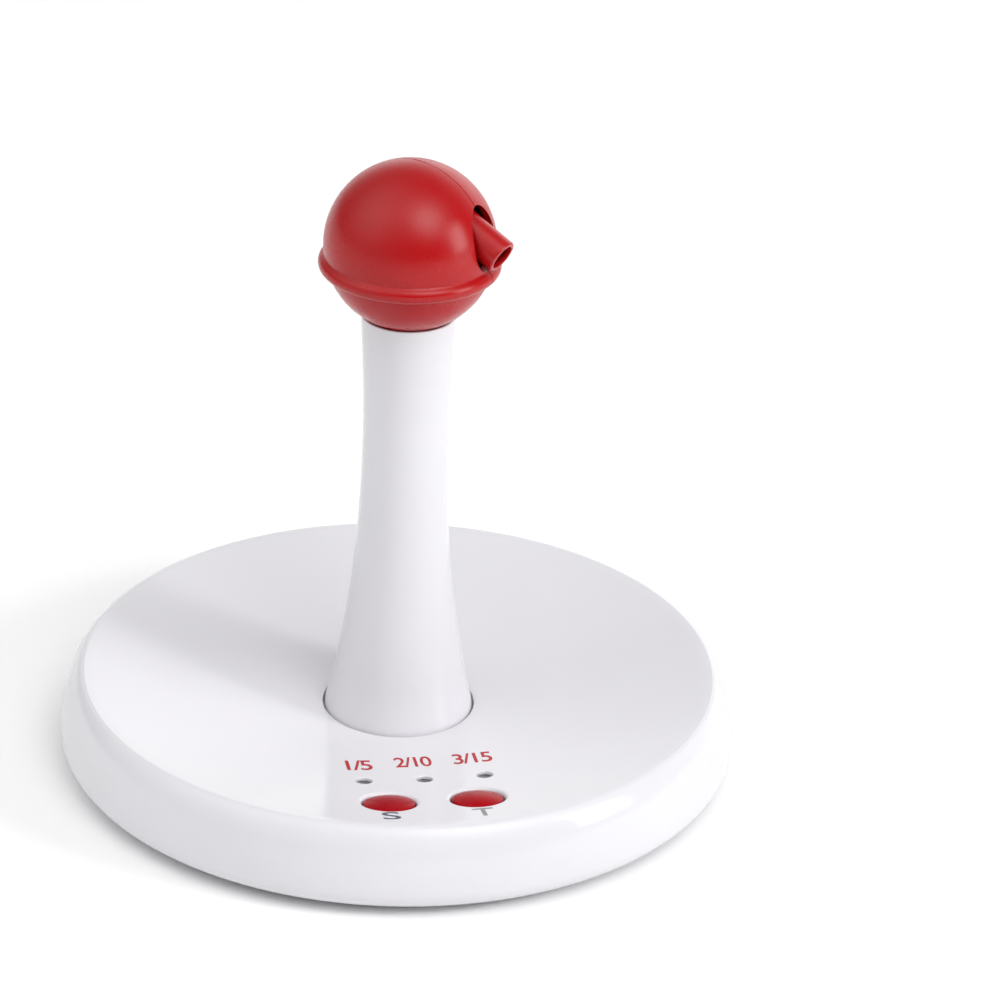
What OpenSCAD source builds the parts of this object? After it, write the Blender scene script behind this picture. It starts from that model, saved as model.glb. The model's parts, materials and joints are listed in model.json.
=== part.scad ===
// Automatic cat laser toy: a dished base with two push buttons and three indicator lamps, a flared
// column that holds a small gear motor, and a ball head that turns and carries a tilting laser tube.
// Millimetres. +Z is up. The origin is the middle of the footprint, on the surface it stands on.
// The controls are on the -Y side of the dish.

/* [Base] */
// Widest diameter of the base
base_d = 200; // [190:1:210]
// Width of the rounded shoulder outside the dish
shoulder_w = 7.8; // [6.5:0.1:9]
// Height of the lip above the table
rim_z = 27.1; // [26:0.1:32]
// Width of the crest between the outer wall and the dish
lip_w = 1.4; // [1:0.1:2.4]
// Fullness of the curve by which the outer wall rolls over to the crest
roll_power = 1.75; // [1.5:0.05:2]
// Height of the widest belt of the outer wall
belly_z = 8.3; // [7:0.1:11]
// How far the bottom edge lies inside the widest belt
edge_inset = 7.5; // [6:0.1:9]
// Height of the bottom edge above the table
edge_z = 2; // [1.4:0.1:2.6]
// Thickness of the white mouldings
wall = 2.2; // [1.8:0.1:2.4]
// Height of the dish where it meets the column's recess
dish_low_z = 15.5; // [15.2:0.1:18]
// Sag of the dish below a straight cone
dish_sag = 1.7; // [0.5:0.1:1.9]
// Depth of the recess that takes the column's foot
recess_depth = 3; // [2:0.1:3.4]
// Shadow gap round the column's foot
recess_gap = 0.55; // [0.4:0.05:1]

/* [Base plate and feet] */
// Thickness of the base plate
plate_t = 2; // [1.6:0.1:2.2]
// How far the plate lies inside the bottom edge
plate_inset = 0.6; // [0.4:0.1:0.8]
// Gap between the plate and the outer wall
plate_gap = 0.5; // [0.3:0.1:1]
// Diameter of each foot
foot_d = 12; // [9:0.5:14]
// Depth that each foot is let into the plate
foot_sink = 0.8; // [0.5:0.1:1]
// Distance of the ring of feet and screws from the plate's edge
foot_edge = 9.8; // [8.8:0.1:12]

/* [Column] */
// Diameter of the column's foot
column_foot_d = 43.7; // [41:0.1:47]
// Diameter of the column's waist
waist_d = 24.6; // [23:0.1:27]
// Height of the waist
waist_z = 109; // [104:0.5:112]
// How much wider the column's top is than its waist
top_flare = 2.7; // [2:0.1:4]
// Height of the column's top
column_top_z = 141.5; // [139:0.5:150]
// Wall of the column
column_wall = 2; // [1.7:0.1:2.2]
// Power of the curve by which the foot flares
flare_power = 2.3; // [2:0.1:2.8]
// Power of the curve by which the top flares
top_power = 1.5; // [1.2:0.1:2]

/* [Ball head] */
// Diameter of the ball
ball_d = 49.4; // [48:0.2:54]
// Wall of the ball
ball_wall = 2; // [1.6:0.1:2.4]
// Running gap between the ball and the column's cup
head_gap = 0.5; // [0.3:0.05:0.8]
// Direction in which the laser points, from +X towards +Y, in degrees
head_turn = -42.3; // [-180:0.1:180]
// Distance of the split plane, and of the laser tube, from the turning axis
split_y = 3.5; // [2.5:0.1:4.5]
// Height of the half-round bead
bead_h = 4.7; // [3.6:0.1:5]
// Radius over the bead
bead_r = 26.1; // [25.8:0.1:27.6]
// Distance of the bead's middle below the ball's centre
bead_drop = 5.4; // [5:0.1:7]

/* [Laser tube] */
// Outer diameter of the laser tube
tube_d = 10; // [9:0.1:10.4]
// Wall of the laser tube
tube_wall = 0.75; // [0.6:0.05:1]
// How far the ring at the tube's mouth stands inside its bore
mouth_ring = 0.5; // [0.3:0.1:0.7]
// Slope of the tube below the horizontal, in degrees
tube_slope = 25.7; // [23:0.1:28]
// Distance of the tube's axis from the ball's centre, seen from the side
tube_offset = 14.6; // [14:0.1:15.2]
// Length of the tube ahead of the foot of that distance
tube_ahead = 24.9; // [24:0.1:27]
// Length of the tube behind it
tube_behind = 8; // [7:0.1:9]
// Free space round the tube in the ball's opening
opening_gap = 1.6; // [1.2:0.1:1.8]
// How far the opening is raised for tilting, in degrees
opening_raise = 4; // [3.5:0.5:5]
// Length of the laser module
module_len = 16; // [12:0.5:18]
// Diameter of the laser lens
lens_d = 5; // [3:0.1:6]
// Radius of the pivot pins
pivot_r = 1.5; // [1.2:0.1:1.8]
// Length of each pivot pin
pivot_len = 3.2; // [2.6:0.1:4]
// Radial clearance of the pivot pins
pivot_clear = 0.08; // [0.05:0.01:0.1]

/* [Controls] */
// Diameter of each push button
button_d = 14.8; // [14:0.1:16.4]
// Distance between the middles of the buttons
button_pitch = 25.4; // [25:0.1:27]
// Distance of the buttons from the dish's edge
button_edge = 21.3; // [20.4:0.1:22]
// Gap between a button and its hole
button_gap = 0.45; // [0.3:0.05:0.6]
// Height of a button's dome
button_dome = 1.2; // [0.8:0.1:1.8]
// Travel of a button
button_travel = 0.5; // [0.3:0.1:0.6]
// Width of the bevel round each button
button_bevel = 1.1; // [0.6:0.1:1.5]
// Diameter of each indicator hole
lamp_hole_d = 4.8; // [4:0.1:5]
// Distance between neighbouring indicator holes
lamp_pitch = 17.5; // [16.5:0.1:18]
// Distance between the row of buttons and the row of indicator holes
lamp_step = 17.6; // [16.8:0.1:18.4]
// Diameter of each indicator lamp
lamp_d = 5; // [4:0.1:5.4]

/* [Batteries] */
// Diameter of a cell
cell_d = 10.5; // [10.3:0.1:10.6]
// Length of a cell with its button
cell_len = 44.5; // [43:0.5:46]
// Distance of the battery door's corners from the plate's edge
door_edge = 1.55; // [1.4:0.05:2.5]
// Wall of the battery well
well_wall = 1.2; // [1:0.1:1.3]
// Thickness of the battery door
door_t = 1.4; // [1.2:0.1:1.6]
// Gap round the battery door
door_gap = 0.4; // [0.3:0.05:0.5]

/* [Drive] */
// Teeth of each small gear
pinion_teeth = 10; // [10:2:12]
// Teeth of each large gear
wheel_teeth = 30; // [26:2:34]
// Radius of the motor shaft and of the arbor pin
arbor_r = 0.5; // [0.4:0.05:0.55]
// Radius of the output shaft
shaft_r = 1.5; // [1.3:0.1:1.7]
// Running clearance of shafts, on the radius
run_clear = 0.05; // [0.03:0.01:0.08]
// Length of the motor can
can_len = 18.6; // [15:0.2:22]
// Thickness of the gear case and of its lid
case_wall = 0.9; // [0.8:0.05:1]
// Radius of an insulated wire
wire_r = 0.6; // [0.5:0.05:0.7]

/* [Hidden] */

round_fn = 120;
small_fn = 40;
eps = 0.01;

base_r = base_d / 2;
rim_r = base_r - shoulder_w;
edge_r = base_r - edge_inset;
button_ring_y = rim_r - button_edge;
lamp_ring_y = button_ring_y - lamp_step;
column_foot_r = column_foot_d / 2;
recess_r = column_foot_r + recess_gap;
recess_z = dish_low_z - recess_depth;
hub_floor_z = recess_z - wall;
waist_r = waist_d / 2;
column_top_r = waist_r + top_flare / 2;
ball_r = ball_d / 2;
ball_inner_r = ball_r - ball_wall;
ball_z = column_top_z + sqrt(pow(ball_r + head_gap, 2) - pow(column_top_r, 2));

// Surface of the dish at radius r, and its slope there in degrees
function dish_share(r) = (r - recess_r) / (rim_r - recess_r);
function dish_z(r) = dish_low_z + (rim_z - dish_low_z) * dish_share(r)
    - 4 * dish_sag * dish_share(r) * (1 - dish_share(r));
function dish_slope(r) = atan((rim_z - dish_low_z - 4 * dish_sag * (1 - 2 * dish_share(r)))
    / (rim_r - recess_r));

// A stretch of an ellipse from angle a0 to a1, as points
function arc_points(cx, cz, rx, rz, a0, a1, steps) =
    [for (i = [0:steps]) let (a = a0 + (a1 - a0) * i / steps) [cx + rx * cos(a), cz + rz * sin(a)]];

// ---- base shell ----------------------------------------------------------
lip_r = lip_w / 2;
crest_r = rim_r + lip_r;
roll_steps = 18;
dish_steps = 14;
under_r = rim_r - 2 * wall;
cable_hole_r = 8;
column_screw_inset = 5.6;
column_screw_ring = column_foot_r - column_screw_inset;
screw_r = 1.4;
screw_head_r = 2.6;
screw_head_t = 1.6;
pilot_clear = 0.03;
column_boss_r = 3.2;
column_boss_h = 11;
base_boss_r = 3.4;
base_boss_z = plate_z0() + plate_t + 2;
feet_angles = [30, 150, 210, 330];
base_screw_angles = [60, 120, 240, 300];

function plate_z0() = edge_z + plate_inset;
function dish_top_points() =
    [for (i = [0:dish_steps]) let (r = rim_r - lip_r + (recess_r - rim_r + lip_r) * i / dish_steps)
        [r, dish_z(r)]];
// The outer wall, from its widest belt up to just outside the crest
function roll_points() = [for (i = [1:roll_steps]) let (u = sin(84 * i / roll_steps))
    [crest_r + (base_r - crest_r) * pow(1 - pow(u, roll_power), 1 / roll_power),
        belly_z + (rim_z - belly_z) * u]];
function dish_under_points() =
    [for (i = [0:dish_steps]) let (r = recess_r + wall + (under_r - recess_r - wall) * i / dish_steps)
        [r, dish_z(r) - wall / cos(dish_slope(r))]];

module base_profile() {
    polygon(concat(
        arc_points(edge_r, belly_z, base_r - edge_r, belly_z - edge_z, -90, 0, 10),
        roll_points(), arc_points(crest_r, rim_z - lip_r, lip_r, lip_r, 60, 104, 4),
        dish_top_points(),
        [[recess_r, recess_z], [cable_hole_r, recess_z], [cable_hole_r, hub_floor_z],
         [recess_r + wall, hub_floor_z]],
        dish_under_points(),
        arc_points(under_r, belly_z, base_r - wall - under_r,
            dish_z(under_r) - wall - belly_z - 0.6, 84, 0, 12),
        [[edge_r - wall, edge_z]]
    ));
}

// Frame of the controls: on the dish, halfway between lamps and buttons, Z along the dish's normal
face_shift = 4;
face_r = (button_ring_y + lamp_ring_y) / 2 + face_shift;
face_tilt = dish_slope(face_r);
button_x = button_pitch / 2;
button_y = -(button_ring_y - face_r) / cos(face_tilt);
lamp_y = -(lamp_ring_y - face_r) / cos(face_tilt);
lamp_h = 8.6;
lamp_flange = 0.4;
board_top = -wall - lamp_flange - lamp_h;
board_t = 1.6;
board_side = 15.5;
board_low_y = -13;
board_high_edge = 4.5;
board_screw_inset = 3;
board_screw_pitch = 17;
board_half_x = button_x + board_side;
board_high_y = lamp_y + board_high_edge;
board_screw_x = board_half_x - board_screw_inset;
board_screw_ys = [board_low_y + board_screw_inset, board_low_y + board_screw_inset + board_screw_pitch];
board_boss_r = 2.4;
button_hole_r = button_d / 2 + button_gap;

module on_controls() {
    translate([0, -face_r, dish_z(face_r)])
        rotate([-face_tilt, 0, 0]) children();
}

module base_shell() {
    color("white") difference() {
        union() {
            rotate_extrude($fn = round_fn) base_profile();
            for (a = base_screw_angles)
                rotate([0, 0, a]) translate([foot_ring_r, 0, base_boss_z])
                    cylinder(h = dish_z(foot_ring_r) - wall / 2 - base_boss_z, r = base_boss_r,
                        $fn = small_fn);
            on_controls() for (sx = [-1, 1]) for (sy = board_screw_ys)
                translate([sx * board_screw_x, sy, board_top])
                    cylinder(h = -wall / 4 - board_top, r = board_boss_r, $fn = small_fn);
        }
        for (a = base_screw_angles)
            rotate([0, 0, a]) translate([foot_ring_r, 0, base_boss_z - eps])
                cylinder(h = base_screw_len - 1, r = screw_r + pilot_clear, $fn = small_fn);
        for (i = [0:2]) rotate([0, 0, 120 * i + 90]) translate([column_screw_ring, 0, hub_floor_z - 1])
            cylinder(h = wall + 2, r = screw_r + 0.2, $fn = small_fn);
        on_controls() {
            for (sx = [-1, 1]) for (sy = board_screw_ys)
                translate([sx * board_screw_x, sy, board_top - eps])
                    cylinder(h = board_screw_len, r = board_screw_r + pilot_clear, $fn = small_fn);
            for (sx = [-1, 1]) translate([sx * button_x, button_y, 0]) {
                translate([0, 0, -2 * wall]) cylinder(h = 4 * wall, r = button_hole_r, $fn = round_fn);
                translate([0, 0, -button_bevel + 0.1])
                    cylinder(h = 3, r1 = button_hole_r, r2 = button_hole_r + 3, $fn = round_fn);
            }
            for (i = [-1:1]) translate([i * lamp_pitch, lamp_y, -2 * wall])
                cylinder(h = 4 * wall, r = lamp_hole_d / 2, $fn = small_fn);
        }
    }
}

// ---- base plate, feet, battery well --------------------------------------
plate_z = plate_z0();
plate_top = plate_z + plate_t;
plate_r = edge_r - wall - plate_gap;
foot_ring_r = plate_r - foot_edge;
cell_pitch = cell_d + 0.3;
door_top = plate_z + door_t;
door_seat = door_top + 0.1;
well_in_x = cell_len / 2 + 3.2;
well_in_y = 1.5 * cell_pitch + 0.2;
well_in_top = door_seat + cell_d + 0.25;
well_out_x = well_in_x + well_wall;
well_out_y = well_in_y + well_wall;
well_out_top = well_in_top + well_wall - 0.2;
door_x = well_out_x + 0.4;
door_y = well_out_y + 0.4;
cell_row_y = sqrt(pow(plate_r - door_edge, 2) - pow(door_x, 2)) - door_y;
tab_x = 14;
tab_w = 5;
tab_reach = 3;
tab_t = 1;
tab_gap = 0.25;
tab_low = plate_top + tab_gap;
// The tabs swing up into the notches as the door opens about its lower inner edge
tab_notch_z = plate_z + norm([tab_reach, tab_low + tab_t - plate_z]) + tab_gap;
latch_w = 9;
base_head_r = 3.2;
base_screw_len = 9;
counterbore_h = 2.2;
plate_boss_r = 4.6;

module boxed(half_x, half_y, z0, z1) {
    translate([-half_x, -half_y, z0]) cube([2 * half_x, 2 * half_y, z1 - z0]);
}

module base_plate() {
    color("white") difference() {
        union() {
            translate([0, 0, plate_z]) cylinder(h = plate_t, r = plate_r, $fn = round_fn);
            translate([0, cell_row_y, 0])
                boxed(well_out_x, well_out_y, plate_z + door_t / 2, well_out_top);
            for (a = base_screw_angles) rotate([0, 0, a]) translate([foot_ring_r, 0, plate_z])
                cylinder(h = base_boss_z - plate_z, r = plate_boss_r, $fn = small_fn);
        }
        translate([0, cell_row_y, 0]) {
            boxed(well_in_x, well_in_y, plate_z - 1, well_in_top);
            boxed(door_x + door_gap, door_y + door_gap, plate_z - 1, door_seat);
            for (s = [-1, 1]) translate([s * tab_x, -well_in_y - well_wall, 0])
                boxed(tab_w / 2 + door_gap, well_wall + 0.9, plate_z, tab_notch_z);
            translate([0, door_y, 0])
                boxed(latch_w / 2 + 2 * door_gap, 2.4, plate_z - 1, plate_top + 1);
        }
        for (a = base_screw_angles) rotate([0, 0, a]) translate([foot_ring_r, 0, plate_z - eps]) {
            cylinder(h = counterbore_h + eps, r = base_head_r + 0.3, $fn = small_fn);
            cylinder(h = 10, r = screw_r + 0.2, $fn = small_fn);
        }
        for (a = feet_angles) rotate([0, 0, a]) translate([foot_ring_r, 0, plate_z - eps])
            cylinder(h = foot_sink + eps, r = foot_d / 2 + 0.1, $fn = small_fn);
    }
}

// Opens about its lower inner edge; its two tabs reach over the plate
module battery_door() {
    color("white") translate([0, cell_row_y, 0]) {
        boxed(door_x, door_y, plate_z, door_top);
        for (s = [-1, 1]) translate([s * tab_x, -door_y, 0]) {
            translate([-tab_w / 2, 0.3, door_top - eps])
                cube([tab_w, 1.3, tab_low + tab_t - door_top + eps]);
            translate([-tab_w / 2, -tab_reach, tab_low]) cube([tab_w, tab_reach + 1.6, tab_t]);
        }
        translate([-latch_w / 2, door_y - eps, plate_z]) cube([latch_w, 1.2, plate_t + 0.6]);
        translate([-latch_w / 2, door_y - 1.1, plate_z + eps]) cube([latch_w, 1.2, door_t - eps]);
    }
}

module foot(i) {
    color("dimgray") rotate([0, 0, feet_angles[i - 1]]) translate([foot_ring_r, 0, 0])
        rotate_extrude($fn = small_fn) polygon([[0, 0], [foot_d / 2 - 0.6, 0], [foot_d / 2, 0.6],
            [foot_d / 2, plate_z + foot_sink], [0, plate_z + foot_sink]]);
}

module pan_screw(shaft_radius, shaft_len, head_radius, head_t) {
    difference() {
        union() {
            cylinder(h = shaft_len, r = shaft_radius, $fn = small_fn);
            translate([0, 0, -head_t]) cylinder(h = head_t, r = head_radius, $fn = small_fn);
        }
        for (a = [0, 90]) rotate([0, 0, a])
            translate([-head_radius * 0.6, -0.25, -head_t - eps])
                cube([head_radius * 1.2, 0.5, head_t * 0.5]);
    }
}

module base_screws() {
    color("silver") for (a = base_screw_angles)
        rotate([0, 0, a]) translate([foot_ring_r, 0, plate_z + counterbore_h])
            pan_screw(screw_r, base_screw_len, base_head_r, 1.7);
}

// Cells lie along X, side by side, with their buttons at alternate ends
cell_z = door_seat + cell_d / 2 + 0.1;
contact_t = 0.4;
module cell(i) {
    way = i == 2 ? -1 : 1;
    color(i == 2 ? "gray" : "goldenrod")
        translate([0, cell_row_y + (i - 2) * cell_pitch, cell_z])
            rotate([0, 90 * way, 0]) translate([0, 0, -cell_len / 2 + spring_shift]) {
                cylinder(h = cell_len - 1, r = cell_d / 2, $fn = round_fn);
                translate([0, 0, cell_len - 1 - eps]) cylinder(h = 1 + eps, r = 1.9, $fn = small_fn);
            }
}
spring_len = 2 * (well_in_x - contact_t) - cell_len - 0.1;
spring_foot_r = 3.4;
spring_tip_r = 2.2;
spring_wire_d = 1;
spring_shift = spring_len / 2;

module cell_springs() {
    color("silver") for (i = [1:3]) {
        way = i == 2 ? -1 : 1;
        translate([0, cell_row_y + (i - 2) * cell_pitch, cell_z]) rotate([0, 90 * way, 0])
            translate([0, 0, -well_in_x + contact_t]) rotate_extrude($fn = small_fn)
                polygon([[spring_foot_r - spring_wire_d, 0], [spring_foot_r, 0],
                    [spring_tip_r, spring_len - 0.05], [spring_tip_r - spring_wire_d, spring_len - 0.05]]);
    }
}

module contact_plate(side) {
    color("silver") for (i = [1:3])
        translate([side > 0 ? well_in_x - contact_t : -well_in_x,
            cell_row_y + (i - 2) * cell_pitch - cell_pitch / 2, door_seat + 0.6])
            cube([contact_t, cell_pitch, cell_d - 0.8]);
}

// ---- control board -------------------------------------------------------
board_screw_r = 1;
board_screw_len = 6;
switch_half = 3;
switch_h = 3.6;
switch_plunger_r = 1.7;
plunger_deep = 1.2;
cap_under = wall + 0.2;
flange_t = 1.1;
flange_r = button_d / 2 + 1.4;
stem_r = 2.4;
plunger_top = board_top + switch_h + 1.5;

module control_board() {
    color("seagreen") on_controls() difference() {
        translate([-board_half_x, board_low_y, board_top - board_t])
            cube([2 * board_half_x, board_high_y - board_low_y, board_t]);
        for (sx = [-1, 1]) for (sy = board_screw_ys)
            translate([sx * board_screw_x, sy, board_top - board_t - 1])
                cylinder(h = board_t + 2, r = board_screw_r + 0.1, $fn = small_fn);
    }
}

module board_screws() {
    color("silver") on_controls() for (sx = [-1, 1]) for (sy = board_screw_ys)
        translate([sx * board_screw_x, sy, board_top - board_t])
            pan_screw(board_screw_r, board_t + board_screw_len - 1, 1.9, 1.2);
}

module control_chip() {
    color("black") on_controls() translate([-2.5, button_y - 2, board_top]) cube([5, 4, 1.5]);
}

module board_capacitor() {
    color("navy") on_controls() translate([-9, lamp_y - 5.5, board_top])
        cylinder(h = 5, r = 2.5, $fn = small_fn);
}

plug_x = 8.5;
plug_y = lamp_y - 9;
module wire_plug() {
    color("ivory") on_controls() translate([plug_x - 5, plug_y - 2.2, board_top]) cube([10, 4.4, 4.5]);
}

module lamp(i) {
    color("gold") on_controls() translate([(i - 2) * lamp_pitch, lamp_y, board_top])
        rotate_extrude($fn = small_fn) polygon(concat(
            [[0, 0], [lamp_d / 2 + 0.4, 0], [lamp_d / 2 + 0.4, 1], [lamp_d / 2, 1]],
            arc_points(0, lamp_h - lamp_d / 2, lamp_d / 2, lamp_d / 2, 0, 90, 8)));
}

module on_button(side) {
    on_controls() translate([side * button_x, button_y, 0]) children();
}

module tact_switch(side) {
    color("dimgray") on_button(side) difference() {
        translate([-switch_half, -switch_half, board_top])
            cube([2 * switch_half, 2 * switch_half, switch_h]);
        translate([0, 0, board_top + switch_h - plunger_deep - button_travel - 0.1])
            cylinder(h = 5, r = switch_plunger_r + 0.06, $fn = small_fn);
    }
}

module plunger(side) {
    color("black") on_button(side) translate([0, 0, board_top + switch_h - plunger_deep])
        cylinder(h = plunger_top - board_top - switch_h + plunger_deep, r = switch_plunger_r,
            $fn = small_fn);
}

module push_button(side) {
    sphere_r = (pow(button_d / 2, 2) + pow(button_dome, 2)) / (2 * button_dome);
    half_angle = asin(button_d / 2 / sphere_r);
    color("red") on_button(side) rotate_extrude($fn = round_fn) polygon(concat(
        [[0, plunger_top], [stem_r, plunger_top], [stem_r, -cap_under - flange_t],
         [flange_r, -cap_under - flange_t], [flange_r, -cap_under],
         [button_d / 2, -cap_under], [button_d / 2, 0]],
        arc_points(0, button_dome - sphere_r, sphere_r, sphere_r, 90 - half_angle, 90, 10)));
}

// ---- column --------------------------------------------------------------
seat_drop = 17.5;
seat_ledge = 0.75;
seat_z = column_top_z - seat_drop;
seat_r = column_top_r - column_wall - seat_ledge;
drive_bore_r = waist_r - column_wall;
column_steps = 26;
top_steps = 10;
lug_y = drive_bore_r - 1.7;
lug_r = 2.2;

function column_r(z) = z < waist_z
    ? waist_r + (column_foot_r - waist_r) * pow((waist_z - z) / (waist_z - dish_low_z), flare_power)
    : waist_r + (column_top_r - waist_r) * pow((z - waist_z) / (column_top_z - waist_z), top_power);
function column_low_points() = [for (i = [0:column_steps])
    let (z = dish_low_z + (waist_z - dish_low_z) * i / column_steps) [column_r(z), z]];
function column_high_points() = [for (i = [1:top_steps])
    let (z = waist_z + (column_top_z - waist_z) * i / top_steps) [column_r(z), z]];
function column_bore_points() = [for (i = [column_steps:-1:0])
    let (z = recess_z + column_wall + (waist_z - recess_z - column_wall) * i / column_steps)
        [column_r(max(z, dish_low_z)) - column_wall, z]];

// The rim of the cup follows the ball, head_gap away from it
cup_in_z = ball_z - sqrt(pow(ball_r + head_gap, 2) - pow(seat_r, 2));

module column() {
    color("white") difference() {
        union() {
            rotate_extrude($fn = round_fn) polygon(concat(
                [[column_foot_r, recess_z]], column_low_points(), column_high_points(),
                [[seat_r, cup_in_z], [seat_r, seat_z], [drive_bore_r, seat_z], [drive_bore_r, waist_z]],
                column_bore_points(), [[column_foot_r - column_wall, recess_z]]));
            for (s = [-1, 1]) translate([0, s * lug_y, lug_low_z])
                cylinder(h = seat_z - ear_t - lug_low_z, r = lug_r, $fn = small_fn);
            for (i = [0:2]) rotate([0, 0, 120 * i + 90]) translate([column_screw_ring, 0, recess_z])
                cylinder(h = column_boss_h, r = column_boss_r, $fn = small_fn);
        }
        for (i = [0:2]) rotate([0, 0, 120 * i + 90]) translate([column_screw_ring, 0, recess_z - 1])
            cylinder(h = column_boss_h - 1, r = screw_r + pilot_clear, $fn = small_fn);
        for (s = [-1, 1]) translate([0, s * lug_y, lug_low_z - 1])
            cylinder(h = 20, r = drive_screw_r + pilot_clear, $fn = small_fn);
    }
}

module column_screws() {
    color("silver") for (i = [0:2]) rotate([0, 0, 120 * i + 90])
        translate([column_screw_ring, 0, hub_floor_z])
            pan_screw(screw_r, column_boss_h - 1, screw_head_r, screw_head_t);
}

// ---- gear motor ----------------------------------------------------------
// Everything hangs from the lid, whose rim lies on the step in the column's bore
lid_t = 1.6;
ear_t = 1.4;
drive_screw_r = 0.8;
case_h = 7.4;
case_z = seat_z - case_h;
lug_low_z = case_z + 0.6;
gear_room = 0.35;
tip_add = 0.75;
gear_mod = (drive_bore_r - 0.5 - case_wall - gear_room)
    / ((pinion_teeth + wheel_teeth) / 2 + wheel_teeth / 2 + tip_add);
arbor_x = gear_mod * (pinion_teeth + wheel_teeth) / 2;
case_in_r = gear_mod * (wheel_teeth / 2 + tip_add) + gear_room;
case_out_r = case_in_r + case_wall;
can_r = drive_bore_r - 2.55;
can_z = case_z - can_len;
cap_len = 2.5;
bush_r = 2.5;
bush_low = 1.2;
bush_high = 1;
wheel_t = 1.8;
floor_t = 1;
pinion_z = case_z + floor_t + 0.3;
pinion_h = 2.2;
compound_z = pinion_z + 0.2;
small_z = compound_z + wheel_t;
small_h = 2.8;
output_z = small_z + 0.8;
wire_slot_x = drive_bore_r - 1.2;
wire_slot_w = 4 * wire_r + 2;
wire_mid_y = 0.6;
pressure_angle = 26;
backlash = 0.08;

function involute(r, base) = sqrt(max(pow(r / base, 2) - 1, 0)) * 180 / PI - acos(min(base / r, 1));
function gear_points(teeth) =
    let (
        pitch = gear_mod * teeth / 2,
        base = pitch * cos(pressure_angle),
        tip = pitch + tip_add * gear_mod,
        root = pitch - (tip_add + 0.3) * gear_mod,
        start = max(base, root),
        radii = [root, start, start + (tip - start) / 3, start + 2 * (tip - start) / 3, tip],
        half = 90 / teeth * (1 - backlash) + involute(pitch, base),
        angles = [for (r = radii) half - involute(max(r, start), base)]
    )
    [for (k = [0:teeth - 1]) for (j = [-5:4])
        let (
            i = j < 0 ? j + 5 : 4 - j,
            a = 360 * k / teeth + (j < 0 ? -angles[i] : angles[i])
        ) radii[i] * [cos(a), sin(a)]];

module spur(teeth, thick, phase) {
    rotate([0, 0, phase]) linear_extrude(height = thick) polygon(gear_points(teeth));
}

module stadium(r, h) {
    linear_extrude(height = h) union() {
        circle(r = r, $fn = round_fn);
        translate([arbor_x, 0]) circle(r = r, $fn = round_fn);
        translate([0, -r]) square([arbor_x, 2 * r]);
    }
}

module motor_can() {
    color("silver") translate([0, 0, can_z]) difference() {
        cylinder(h = can_len, r = can_r, $fn = round_fn);
        translate([0, 0, -1]) cylinder(h = can_len + 2, r = arbor_r + run_clear, $fn = small_fn);
        for (s = [-1, 1]) translate([motor_screw_x, s * motor_screw_y, can_len - 3])
            cylinder(h = 4, r = 0.7 + pilot_clear, $fn = small_fn);
    }
}

module motor_cap() {
    color("black") translate([0, 0, can_z - cap_len]) difference() {
        cylinder(h = cap_len, r = can_r, $fn = round_fn);
        translate([0, 0, 1]) cylinder(h = cap_len, r = arbor_r + run_clear, $fn = small_fn);
        for (s = [-1, 1]) translate([s * 4 - 0.3, -1, -1]) cube([0.6, 2, 2.5]);
    }
}

module motor_terminals() {
    color("gold") for (s = [-1, 1]) translate([s * 4 - 0.2, -0.9, can_z - cap_len - 3])
        cube([0.4, 1.8, 4.3]);
}

module motor_shaft() {
    color("lightgray") translate([0, 0, can_z - cap_len + 1.2])
        cylinder(h = pinion_z + pinion_h - can_z + cap_len - 1.2, r = arbor_r, $fn = small_fn);
}

module motor_pinion() {
    color("gold") translate([0, 0, pinion_z]) difference() {
        spur(pinion_teeth, pinion_h, 0);
        translate([0, 0, -1]) cylinder(h = pinion_h + 2, r = arbor_r + 0.01, $fn = small_fn);
    }
}

motor_screw_x = -case_in_r * 0.45;
motor_screw_y = case_in_r * 0.55;
module motor_screws() {
    color("silver") for (s = [-1, 1])
        translate([motor_screw_x, s * motor_screw_y, case_z + floor_t]) rotate([180, 0, 0])
            pan_screw(0.7, floor_t + 2.6, 1.1, 0.7);
}

module gear_case() {
    color("whitesmoke") translate([0, 0, case_z]) difference() {
        union() {
            stadium(case_out_r, case_h);
            translate([0, 0, case_h - ear_t]) linear_extrude(height = ear_t) union() {
                for (s = [-1, 1]) translate([0, s * lug_y]) circle(r = lug_r - 0.7, $fn = small_fn);
                translate([-lug_r + 0.7, -lug_y]) square([2 * (lug_r - 0.7), 2 * lug_y]);
            }
        }
        translate([0, 0, floor_t]) stadium(case_in_r, case_h);
        translate([0, 0, -1]) cylinder(h = 4, r = arbor_r + 0.4, $fn = small_fn);
        translate([arbor_x, 0, floor_t - 0.6]) cylinder(h = 2, r = arbor_r + 0.01, $fn = small_fn);
        for (s = [-1, 1]) {
            translate([motor_screw_x, s * motor_screw_y, -1]) cylinder(h = 4, r = 0.75, $fn = small_fn);
            translate([0, s * lug_y, 0]) cylinder(h = 20, r = drive_screw_r + 0.1, $fn = small_fn);
        }
    }
}

module gear_lid() {
    color("whitesmoke") translate([0, 0, seat_z]) difference() {
        cylinder(h = lid_t, r = seat_r - 0.15, $fn = round_fn);
        translate([0, 0, -1]) cylinder(h = lid_t + 2, r = bush_r + 0.01, $fn = small_fn);
        translate([arbor_x, 0, -1]) cylinder(h = 1.6, r = arbor_r + 0.01, $fn = small_fn);
        for (s = [-1, 1]) translate([0, s * lug_y, -1])
            cylinder(h = lid_t + 2, r = drive_screw_r + 0.1, $fn = small_fn);
        translate([-wire_slot_x - 3, -wire_slot_w / 2 + wire_mid_y, -1])
            cube([3 + 2 * wire_r, wire_slot_w, lid_t + 2]);
    }
}

module drive_screws() {
    color("silver") for (s = [-1, 1]) translate([0, s * lug_y, seat_z + lid_t]) rotate([180, 0, 0])
        pan_screw(drive_screw_r, lid_t + case_h - 1.6, 1.5, 0.9);
}

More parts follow.
